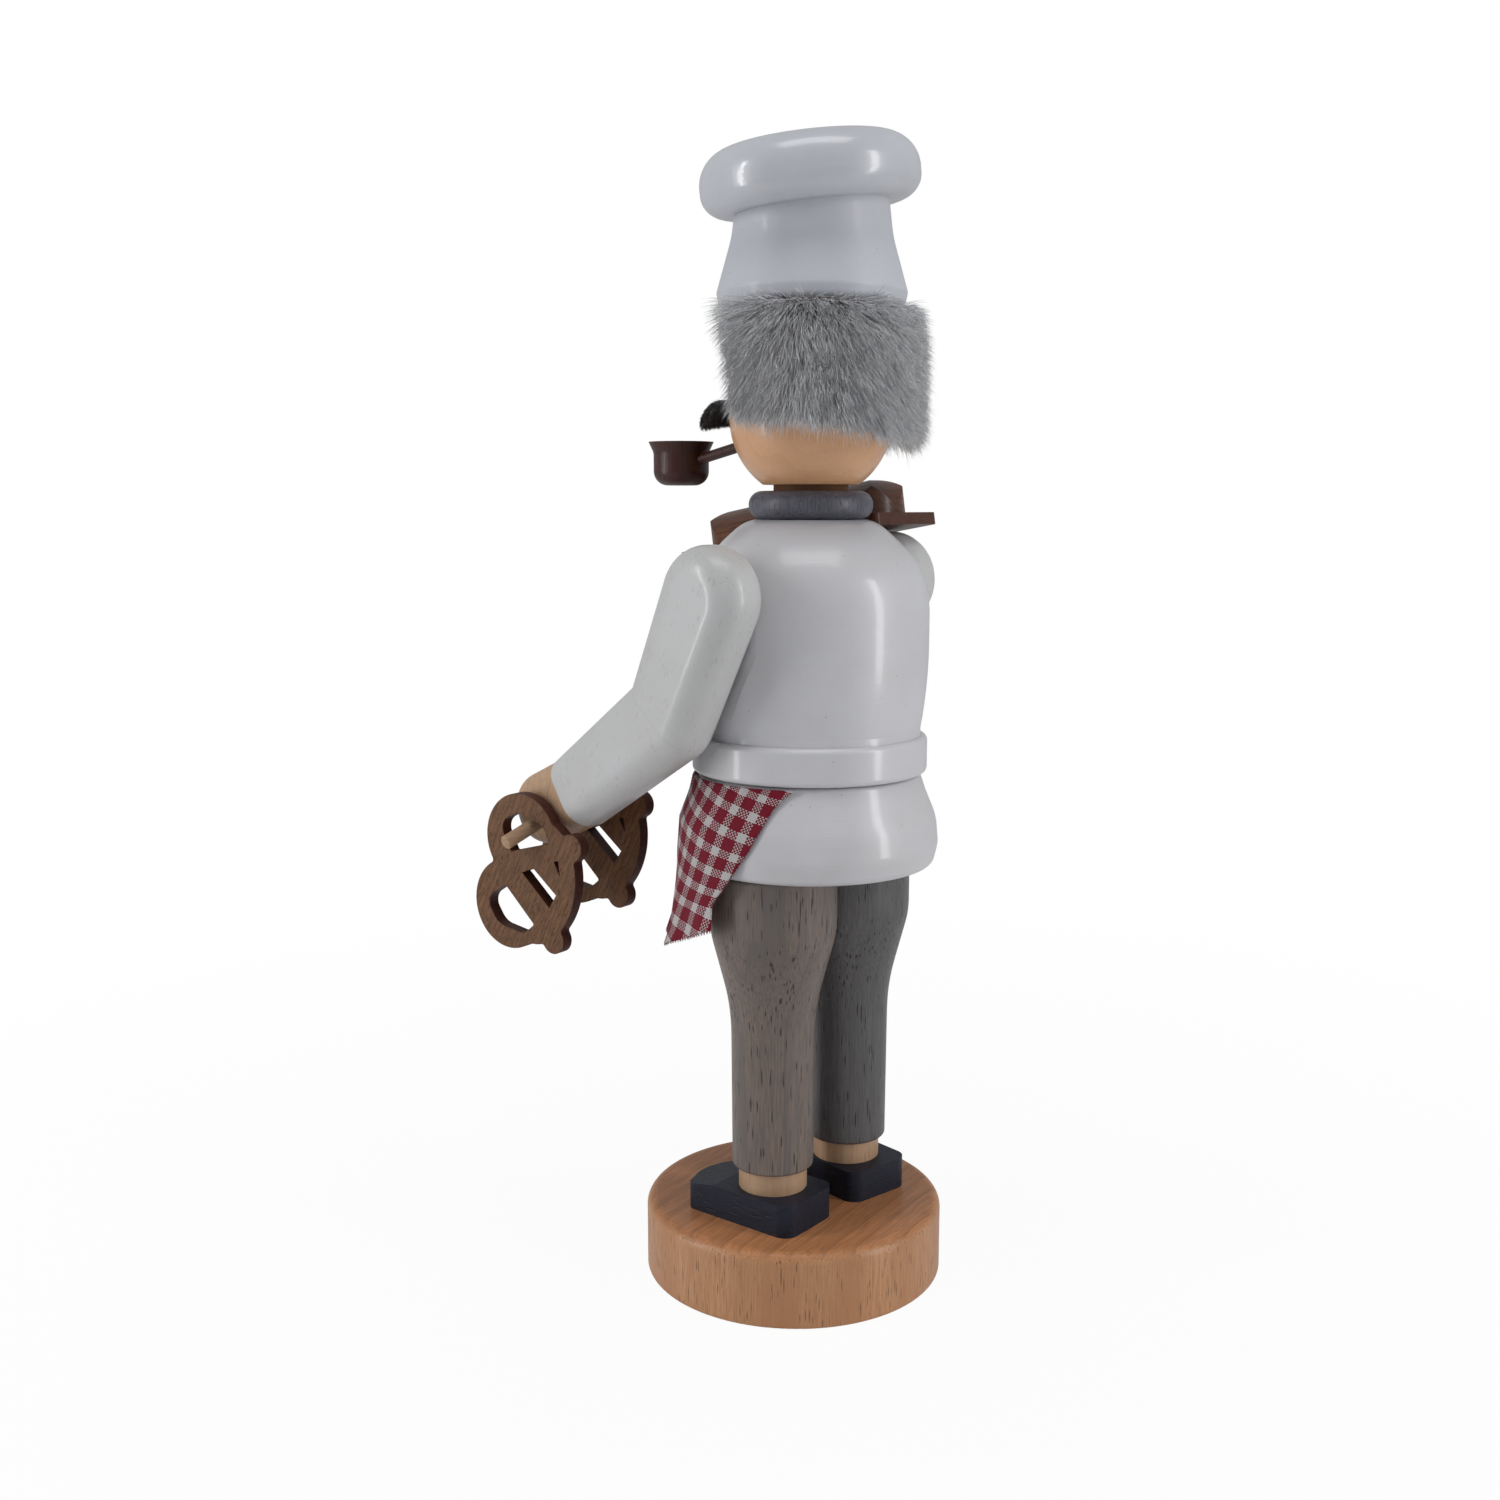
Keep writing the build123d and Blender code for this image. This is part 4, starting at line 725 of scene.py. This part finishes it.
def checked_cloth(apron):
    """Woven check: each crossing shows the warp or the weft yarn, as in a real plain weave."""
    material, shader, _ = new_finish("apron_check")
    flat = output(shader.id_data, "ShaderNodeUVMap", uv_map="cloth")
    turned = stretch(flat, turn=(0, 0, apron.bias))
    wobble = vector_calc("SCALE", wander(turned, 130), 0.35 * MM)
    turned = vector_calc("ADD", turned, wobble)
    reds, counts, rounds = [], [], []
    for axis in split(turned)[:2]:
        stripe = calc("FRACT", calc("DIVIDE", axis, apron.check))
        reds.append(calc("LESS_THAN", stripe, RED_SHARE))
        count = calc("DIVIDE", axis, apron.check / YARNS)
        counts.append(calc("FLOOR", count))
        rounds.append(calc("SINE", times(calc("FRACT", count), pi)))
    # an even number far above any count keeps the remainder positive
    crossing = calc("ADD", calc("ADD", counts[0], counts[1]), 4096.0)
    turn = calc("MODULO", crossing, 2.0)
    lifts = []
    for axis, up in ((0, calc("SUBTRACT", 1.0, turn)), (1, turn)):
        lift = calc("ADD", rounds[axis], times(up, TOP_LIFT))
        lifts.append(calc("ADD", lift, times(reds[axis], RED_LIFT)))
    over = calc("GREATER_THAN", lifts[1], lifts[0])
    red_share, height = [
        output(over.id_data, "ShaderNodeMix", {0: over, 2: warp, 3: weft}, data_type="FLOAT")
        for warp, weft in (reds, rounds)
    ]
    yarn = noise(turned, 2600, 2)
    red = tint(yarn, rgba(apron.red, 0.7), rgba(apron.red, 1.35))
    white = tint(yarn, rgba(apron.white, 0.82), rgba(apron.white, 1.1))
    body = tint(red_share, white, red)
    feed(shader, {
        # the low places between the yarns are painted dark red, as painted shade between the yarns
        "Base Color": tint(ramp(height, 0.1, 0.7, 0.65, 0.0), body, (0.08, 0.008, 0.016, 1)),
        "Roughness": ramp(yarn, 0.3, 0.7, 0.75, 0.92),
        "Sheen Weight": 0.08,
        "Sheen Roughness": 0.5,
        "Specular IOR Level": 0.2,
    })
    set_bump(shader, height, 0.55, 0.10 * MM)
    return material


def grid_faces(mesh, grid):
    """Smooth four-sided faces between rows of points."""
    faces = []
    for above, below in zip(grid, grid[1:]):
        for j in range(len(above) - 1):
            faces.append(mesh.faces.new((above[j], below[j], below[j + 1], above[j + 1])))
            faces[-1].smooth = True
    return faces


def plain_mesh(name, mesh):
    made = bpy.data.meshes.new(name)
    mesh.to_mesh(made)
    mesh.free()
    return made


def thicken(piece, thickness, offset):
    solid = piece.modifiers.new("thickness", "SOLIDIFY")
    solid.thickness = thickness
    solid.offset = offset


def cloth_grid(apron, columns, rows):
    """Open sheet of the apron with a UV map in metres of cloth."""
    mesh = bmesh.new()
    layer = mesh.loops.layers.uv.new("cloth")
    grid, flat = [], {}
    for i in range(rows + 1):
        row = []
        for j in range(columns + 1):
            across = -1 + 2 * j / columns
            vert = mesh.verts.new(apron_point(across, i / rows, apron.fold))
            turned = radians(across * between(APRON_EDGE, i / rows)) * CLOTH_RADIUS * MM
            fall = flat[grid[-1][j]].y - (vert.co - grid[-1][j].co).length if grid else 0
            flat[vert] = Vector((turned, fall))
            row.append(vert)
        grid.append(row)
    for face in grid_faces(mesh, grid):
        for loop in face.loops:
            loop[layer].uv = flat[loop.vert]
    return plain_mesh("apron_cloth", mesh)


# Strands of fur, pile and fringe


def keep(geometry, name, value, kind="FLOAT"):
    """Store a value on the points under a name."""
    inputs = {"Geometry": geometry, "Name": name, "Value": value}
    return output(geometry.id_data, "GeometryNodeStoreNamedAttribute", inputs, data_type=kind)


def recall(tree, name, kind="FLOAT_VECTOR"):
    return output(tree, "GeometryNodeInputNamedAttribute", {"Name": name}, data_type=kind)


def random_number(tree, low, high, seed):
    inputs = {2: low, 3: high, "Seed": seed}
    return output(tree, "FunctionNodeRandomValue", inputs, data_type="FLOAT", out=1)


def build_strands():
    """Tapered strands that grow from a carrier mesh, lean down and draw together in tufts."""
    inputs = {
        "Geometry": "Geometry", "Count": 1000, "Length": 0.008, "Radius": 0.0001, "Clump": 0.002,
        "Sag": 0.3, "Tuft": 0.5, "Seed": 1, "Material": "Material",
    }
    given, result = new_group("pile_strands", inputs, ("Geometry",), "GeometryNodeTree", "Geometry")
    tree = result.id_data
    carrier, clump = given["Geometry"], given["Clump"]
    area = output(tree, "GeometryNodeInputMeshFaceArea")
    total = output(
        tree, "GeometryNodeAttributeStatistic", {"Geometry": carrier, 2: area}, domain="FACE", out="Sum"
    )
    scatter = add_node(
        tree, "GeometryNodeDistributePointsOnFaces",
        {"Mesh": carrier, "Density": calc("DIVIDE", given["Count"], total), "Seed": given["Seed"]}
    ).outputs
    root = output(tree, "GeometryNodeInputPosition")
    points = keep(scatter["Points"], "root", root, "FLOAT_VECTOR")
    points = keep(points, "tone", random_number(tree, 0.0, 1.0, given["Seed"]))

    lean = vector_calc("ADD", scatter["Normal"], recall(tree, "comb"))
    stray = output(
        tree, "FunctionNodeRandomValue", {0: (-0.34, -0.34, -0.34), 1: (0.34, 0.34, 0.34), "Seed": 7},
        data_type="FLOAT_VECTOR"
    )
    swirl = vector_calc("SCALE", wander(root, 150), 1.1)
    heading = vector_calc("ADD", vector_calc("ADD", lean, stray), swirl)
    aim = output(tree, "FunctionNodeAlignRotationToVector", {"Vector": heading}, axis="Z")
    line = output(tree, "GeometryNodeCurvePrimitiveLine", {"End": (0, 0, 1)})
    steps = output(tree, "GeometryNodeResampleCurve", {"Curve": line, "Count": 5})
    grow = random_number(tree, 0.72, 1.15, 3)
    size = times(given["Length"], recall(tree, "pile", "FLOAT"), grow)
    placed = output(
        tree, "GeometryNodeInstanceOnPoints",
        {"Points": points, "Instance": steps, "Rotation": aim, "Scale": size}
    )
    curves = output(tree, "GeometryNodeRealizeInstances", {"Geometry": placed})

    along = output(tree, "GeometryNodeSplineParameter", out="Factor")
    start = recall(tree, "root")
    square = times(along, along)
    sag = times(given["Sag"], given["Length"], square)
    fall = output(tree, "ShaderNodeCombineXYZ", {2: times(sag, -1.0)})
    cells = vector_calc("SCALE", start, calc("DIVIDE", 1.0, clump))
    tuft = output(tree, "ShaderNodeTexVoronoi", {"Vector": cells, "Scale": 1.0}, out="Position")
    inward = vector_calc("SUBTRACT", vector_calc("SCALE", tuft, clump), start)
    pull = vector_calc("SCALE", inward, times(square, given["Tuft"]))
    move = vector_calc("ADD", fall, pull)
    bent = output(tree, "GeometryNodeSetPosition", {"Geometry": curves, "Offset": move})

    narrow = calc("SUBTRACT", 1.06, calc("POWER", along, 1.6))
    taper = times(narrow, given["Radius"])
    marked = keep(bent, "along", along)
    sized = output(tree, "GeometryNodeSetCurveRadius", {"Curve": marked, "Radius": taper})
    ring = output(tree, "GeometryNodeCurvePrimitiveCircle", {"Resolution": 3, "Radius": 1.0})
    tubes = add_node(
        tree, "GeometryNodeCurveToMesh", {"Curve": sized, "Profile Curve": ring, "Fill Caps": True}
    )
    if "Scale" in tubes.inputs:
        feed(tubes, {"Scale": output(tree, "GeometryNodeInputRadius")})
    real = output(tree, "GeometryNodeRealizeInstances", {"Geometry": tubes.outputs[0]})
    coloured = output(tree, "GeometryNodeSetMaterial", {"Geometry": real, "Material": given["Material"]})
    feed(result, {"Geometry": coloured})


def comb_carrier(mesh, combs, piles):
    """Draw the lean and the length share of the pile on each corner point of a carrier."""
    mesh.attributes.new("comb", "FLOAT_VECTOR", "POINT")
    mesh.attributes.new("pile", "FLOAT", "POINT")
    mesh.attributes["comb"].data.foreach_set("vector", [part for comb in combs for part in comb])
    mesh.attributes["pile"].data.foreach_set("value", piles)


def comb_evenly(mesh, comb):
    number = len(mesh.vertices)
    comb_carrier(mesh, [comb] * number, [1.0] * number)


def grown_pile(name, carrier, yarn, **sizes):
    """Object of plain strands that grow on a carrier mesh; sizes are the tree's inputs in small letters."""
    grower = new_object(name + "_carrier", carrier)
    tree = bpy.data.node_groups["pile_strands"]
    modifier = grower.modifiers.new("growth", "NODES")
    modifier.node_group = tree
    inputs = [item for item in tree.interface.items_tree if item.in_out == "INPUT"]
    sockets = {item.name.lower(): item.identifier for item in inputs}
    for label, value in {**sizes, "material": yarn}.items():
        modifier[sockets[label]] = value
    bpy.context.view_layer.update()
    graph = bpy.context.evaluated_depsgraph_get()
    made = bpy.data.meshes.new_from_object(grower.evaluated_get(graph), depsgraph=graph)
    made.name = name
    grower.modifiers.remove(modifier)
    bpy.data.objects.remove(grower)
    if not made.polygons:
        raise RuntimeError(name + " has no faces")
    return mesh_object(name, made, yarn)


def strand_finish(name, root, tip, gloss, tone_share, sheen=0.0):
    """Fibre that is dark at its root and paler at its tip, each strand a little different."""
    material, shader, place = new_finish(name)
    tree = shader.id_data
    along = output(tree, "ShaderNodeAttribute", attribute_name="along", out="Fac")
    tone = output(tree, "ShaderNodeAttribute", attribute_name="tone", out="Fac")
    patch = ramp(noise(place, 170, 2), 0.35, 0.65)
    streak = noise(stretch(place, (1, 1, 0.35)), 1100, 1)
    tones = ramp(tone, 0, 1, 1 - tone_share, 1.0)
    shade = times(ramp(along, 0.0, 0.75), tones, ramp(patch, 0, 1, 0.8, 1.0))
    shade = calc("MULTIPLY", shade, ramp(streak, 0.38, 0.58, 0.55, 1.25), clamp=True)
    feed(shader, {
        "Base Color": tint(shade, rgba(root), rgba(tip)),
        "Roughness": ramp(tone, 0, 1, gloss, gloss + 0.2),
        "Specular IOR Level": 0.6,
        "Sheen Weight": sheen,
        "Sheen Roughness": 0.4,
    })
    return material


class BAKER_OT_apron(bpy.types.Operator):
    """Weave, cut and hang the checked apron in place of its plain solid"""

    bl_idname = "baker.apron"
    bl_label = "Hang the apron"

    def execute(self, context):
        apron = context.scene.baker_apron
        cloth = mesh_object("apron_cloth", cloth_grid(apron, columns=260, rows=96), checked_cloth(apron))
        thicken(cloth, apron.thickness, 0)
        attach(cloth, "stand")
        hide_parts("apron")
        fringe = self.fringe(apron)
        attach(fringe, "stand")
        return {"FINISHED"}

    def fringe(self, apron):
        """Loose yarn ends along the cut side edges and the hem."""
        mesh = bmesh.new()
        outline = [(side, i / 40) for side in (-1, 1) for i in range(6, 40)]
        outline += [(-1 + 2 * i / 120, 1) for i in range(121)]
        inward = 0.35 * MM
        for across, down in outline:
            here = apron_point(across, down, apron.fold)
            beside = apron_point(across * 0.985, min(down, 0.995), apron.fold)
            out = (here - beside).normalized()
            wide = Vector((-out.y, out.x, out.z)).normalized() * 0.12 * MM
            corners = (here - out * inward - wide, here - out * inward + wide, here + wide, here - wide)
            mesh.faces.new([mesh.verts.new(point) for point in corners])
        carrier = plain_mesh("fringe_carrier", mesh)
        comb_evenly(carrier, (0.0, 0.0, -1.6))
        red, pale = shaded(apron.red, 0.9), (0.45, 0.22, 0.24)
        yarn = strand_finish("fringe_yarn", red, pale, gloss=0.7, tone_share=0.9)
        return grown_pile(
            "apron_fringe", carrier, yarn, count=1900, length=apron.fray, radius=0.045 * MM,
            clump=0.6 * MM, sag=0.5, tuft=0.2, seed=apron.seed
        )


# Fur: how far it goes round the head each way, its edges above the CAD strip's low edge at the back
# and at the left, its edge under the strip's high edge, and how far its ground stands off the head
HAIR_HALF = radians(102)
HAIR_BACK_UP = 3.2 * MM
HAIR_SIDE_UP = 7.5 * MM
HAIR_TOP_DOWN = 0.2 * MM
BACKING_OFF = 0.9 * MM
STRIP_OFF = 0.85 * MM
STRIPS = 6


def hair_comb(turn, up):
    """Lean and length share of the fur; turn is 0 straight back, up is 0 low and 1 under the hat."""
    end = smooth((abs(turn) - radians(78)) / radians(26))
    crest = smooth((up - 0.80) / 0.20)
    forward = Vector((cos(turn), -sin(turn), 0)) * (1 if turn > 0 else -1)
    rise = 0.55 + 0.50 * smooth((turn + radians(60)) / radians(100))
    comb = Vector((0, 0, -0.72 + rise * crest))
    comb += forward * end * (1.3 * smooth((up - 0.6) / 0.4) - 0.35)
    return comb, 1 - 0.16 * end * (1 - crest) + 0.10 * crest * end - 0.12 * crest * (1 - end)


def hair_band(reach, first, last, steps=16, rows=8):
    """Strip of the fur's ground round the head, from one turn to another, 0 being straight back."""
    low_back = HAIR_LOW.z + HAIR_BACK_UP
    low_side = HAIR_LOW.z + HAIR_SIDE_UP
    high = HAIR_HIGH.z - HAIR_TOP_DOWN
    mesh = bmesh.new()
    grid, combs, piles = [], [], []
    for i in range(rows + 1):
        row = []
        for j in range(steps + 1):
            turn = first + (last - first) * j / steps
            comb, pile = hair_comb(turn, i / rows)
            combs.append(comb)
            piles.append(pile)
            low = low_back + (low_side - low_back) * smooth((turn + radians(20)) / radians(110))
            level = low + (high - low) * i / rows
            inset = 1 - 0.10 * smooth((HEAD_LOW.z + 15 * MM - level) / (10 * MM))
            out = reach * inset
            row.append(mesh.verts.new((out * sin(turn), BODY_Y + out * cos(turn), level)))
        grid.append(row)
    faces = grid_faces(mesh, grid)
    mesh.normal_update()
    if faces[0].normal.dot(faces[0].calc_center_median() - Vector((0, BODY_Y, HAIR_LOW.z))) < 0:
        bmesh.ops.reverse_faces(mesh, faces=faces)
    made = plain_mesh("hair_ground", mesh)
    comb_carrier(made, combs, piles)
    return made


class BAKER_OT_fur(bpy.types.Operator):
    """Grow the grey fur round the back of the head, and the black pile of moustache and brows"""

    bl_idname = "baker.fur"
    bl_label = "Grow the fur"

    def execute(self, context):
        fur = context.scene.baker_fur
        build_strands()
        pile = strand_finish("hair_pile", fur.root, fur.tip, gloss=0.34, tone_share=0.7, sheen=0.35)
        ground = hair_band(HEAD_R + BACKING_OFF, -HAIR_HALF, HAIR_HALF, steps=72, rows=16)
        backing = mesh_object("hair_backing", ground, self.felt(fur))
        thicken(backing, 0.8 * MM, -1)
        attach(backing, "figure_top")
        for i in range(STRIPS):
            first = -HAIR_HALF + 2 * HAIR_HALF * i / STRIPS
            last = -HAIR_HALF + 2 * HAIR_HALF * (i + 1) / STRIPS
            carrier = hair_band(HEAD_R + STRIP_OFF, first, last)
            strip = grown_pile(
                "hair_strip_%d" % (i + 1), carrier, pile, count=fur.count, length=fur.length,
                radius=fur.radius, clump=fur.clump, sag=0.22, tuft=0.75, seed=fur.seed + i
            )
            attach(strip, "figure_top")
            if i == 0:
                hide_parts("hair_fur")
        self.face_pile(fur)
        return {"FINISHED"}

    def felt(self, fur):
        """Felt of the backing, dark between the strands."""
        felt, shader, place = new_finish("hair_felt")
        grain = noise(place, 900, 3)
        colour = tint(grain, rgba(fur.root), rgba(fur.root, 2.2))
        feed(shader, {"Base Color": colour, "Roughness": 0.95})
        return felt

    def face_pile(self, fur):
        """Short black pile over the moustache and the brows, which keep their solids underneath."""
        grey = shaded(fur.black, 3.5)
        black = strand_finish("face_pile", fur.black, grey, gloss=0.35, tone_share=0.6)
        for name, slot, count, lean in (
            ("moustache", "moustache_fur", 7000, -1.1), ("eyebrows", "face_paint", 1500, 0.5)
        ):
            carrier = NODES[name].data.copy()
            comb_evenly(carrier, (0.0, -0.2, lean))
            pile = grown_pile(
                name + "_pile", carrier, black, count=count, length=0.9 * MM, radius=0.06 * MM,
                clump=0.9 * MM, sag=0.2, tuft=0.6, seed=fur.seed
            )
            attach(pile, "figure_top")
            dress(black, name)


def seen_directly(tree):
    """1 for rays from the camera and through glass, and a little for mirror rays."""
    path = add_node(tree, "ShaderNodeLightPath").outputs
    direct = calc("MAXIMUM", path["Is Camera Ray"], path["Is Transmission Ray"])
    return calc("MAXIMUM", direct, times(path["Is Glossy Ray"], 0.25))


# Each softbox: its light, how far it stands from the middle of the figure towards the camera, to the
# camera's right and up, and its width and height, in metres
SOFTBOXES = (
    ("key", 0.26, 0.58, 0.14, (0.10, 0.60)),
    ("fill", 0.16, -0.60, 0.14, (0.07, 0.55)),
    ("top", 0.16, 0.0, 0.60, (0.46, 0.20)),
)
WHITE = (1, 1, 1, 1)
FLOOR_HALF = 3.0


class BAKER_OT_studio(bpy.types.Operator):
    """Set up the camera, the floor, the softboxes and the even light of the room"""

    bl_idname = "baker.studio"
    bl_label = "Set up the studio"

    def execute(self, context):
        stage = context.scene.baker_stage
        context.scene.view_settings.view_transform = "Standard"
        self.camera(context, stage)
        self.floor(stage)
        self.sky(context, stage)
        self.softboxes(stage)
        return {"FINISHED"}

    def aimed(self, name, data, place, aim):
        made = new_object(name, data)
        made.location = place
        made.rotation_mode = "QUATERNION"
        made.rotation_quaternion = aim.to_track_quat("-Z", "Y")
        return made

    def camera(self, context, stage):
        lens = bpy.data.cameras.new("camera")
        lens.lens = stage.lens
        lens.sensor_width = 36.0
        lens.clip_start = 0.01
        lens.clip_end = 20
        context.scene.camera = self.aimed("camera", lens, stage.camera, Vector(stage.aim))

    def softboxes(self, stage):
        aim = Vector(stage.aim).normalized()
        right = aim.cross(Vector((0, 0, 1))).normalized()
        back = Vector((-aim.x, -aim.y, 0)).normalized()
        middle = Vector((0, 0, (CAD_BOX[0].z + CAD_BOX[1].z) / 2))
        for name, near, aside, up, size in SOFTBOXES:
            lamp = bpy.data.lights.new(name + "_softbox", "AREA")
            lamp.shape = "RECTANGLE"
            lamp.size, lamp.size_y = size
            lamp.energy = getattr(stage, name)
            offset = back * near + right * aside + Vector((0, 0, up))
            self.aimed(name + "_softbox", lamp, middle + offset, -offset)

    def floor(self, stage):
        mesh = bmesh.new()
        corners = ((-1, -1), (1, -1), (1, 1), (-1, 1))
        mesh.faces.new([mesh.verts.new((FLOOR_HALF * x, FLOOR_HALF * y, 0)) for x, y in corners])
        made = plain_mesh("studio_floor", mesh)
        material, shader, place = new_finish("studio_floor")
        tree = shader.id_data
        grain = noise(place, 30, 2)
        feed(shader, {
            "Base Color": tint(grain, rgba(stage.floor), rgba(stage.floor, 0.99)),
            "Roughness": 0.9,
            "Specular IOR Level": 0.0,
        })
        glow = output(tree, "ShaderNodeEmission", {"Color": WHITE, "Strength": 1.0})
        far = vector_calc("LENGTH", place, out=1)
        seen = times(seen_directly(tree), ramp(far, 0.07, 0.40, 0.95, 1.0))
        mixed = output(tree, "ShaderNodeMixShader", {0: seen, 1: shader.outputs[0], 2: glow})
        feed(tree.nodes["Material Output"], {"Surface": mixed})
        mesh_object("studio_floor", made, material)

    def sky(self, context, stage):
        world = bpy.data.worlds.new("studio_sky")
        context.scene.world = world
        world.use_nodes = True
        tree = world.node_tree
        room = tree.nodes["Background"]
        feed(room, {"Color": (0.93, 0.96, 1.0, 1), "Strength": stage.sky})
        white = output(tree, "ShaderNodeBackground", {"Color": WHITE, "Strength": 1.0})
        inputs = {0: seen_directly(tree), 1: room.outputs[0], 2: white}
        feed(tree.nodes["World Output"], {"Surface": output(tree, "ShaderNodeMixShader", inputs)})


OPERATORS = (
    BAKER_OT_stained_wood, BAKER_OT_turned_paint, BAKER_OT_fur, BAKER_OT_apron, BAKER_OT_studio,
)
GROUPS = {
    "baker_wood": BakerWood,
    "baker_paint": BakerPaint,
    "baker_apron": BakerApron,
    "baker_fur": BakerFur,
    "baker_stage": BakerStage,
}


class BAKER_PT_panel(bpy.types.Panel):
    """Buttons for each group of pieces, with their sizes and colours"""

    bl_idname = "BAKER_PT_panel"
    bl_label = "Smoking Baker"
    bl_space_type = "VIEW_3D"
    bl_region_type = "UI"
    bl_category = "Baker"

    def draw(self, context):
        for operator in OPERATORS:
            self.layout.operator(operator.bl_idname)
        for name, group in GROUPS.items():
            box = self.layout.box()
            for field in group.__annotations__:
                box.prop(getattr(context.scene, name), field)


CLASSES = (*GROUPS.values(), *OPERATORS, BAKER_PT_panel)


def register():
    for made in CLASSES:
        bpy.utils.register_class(made)
    for name, group in GROUPS.items():
        setattr(bpy.types.Scene, name, PointerProperty(type=group))


def unregister():
    for name in GROUPS:
        delattr(bpy.types.Scene, name)
    for made in reversed(CLASSES):
        bpy.utils.unregister_class(made)


def main():
    register()
    bpy.ops.baker.stained_wood()
    bpy.ops.baker.turned_paint()
    bpy.ops.baker.fur()
    bpy.ops.baker.apron()
    bpy.ops.baker.studio()


if __name__ == "__main__":
    main()
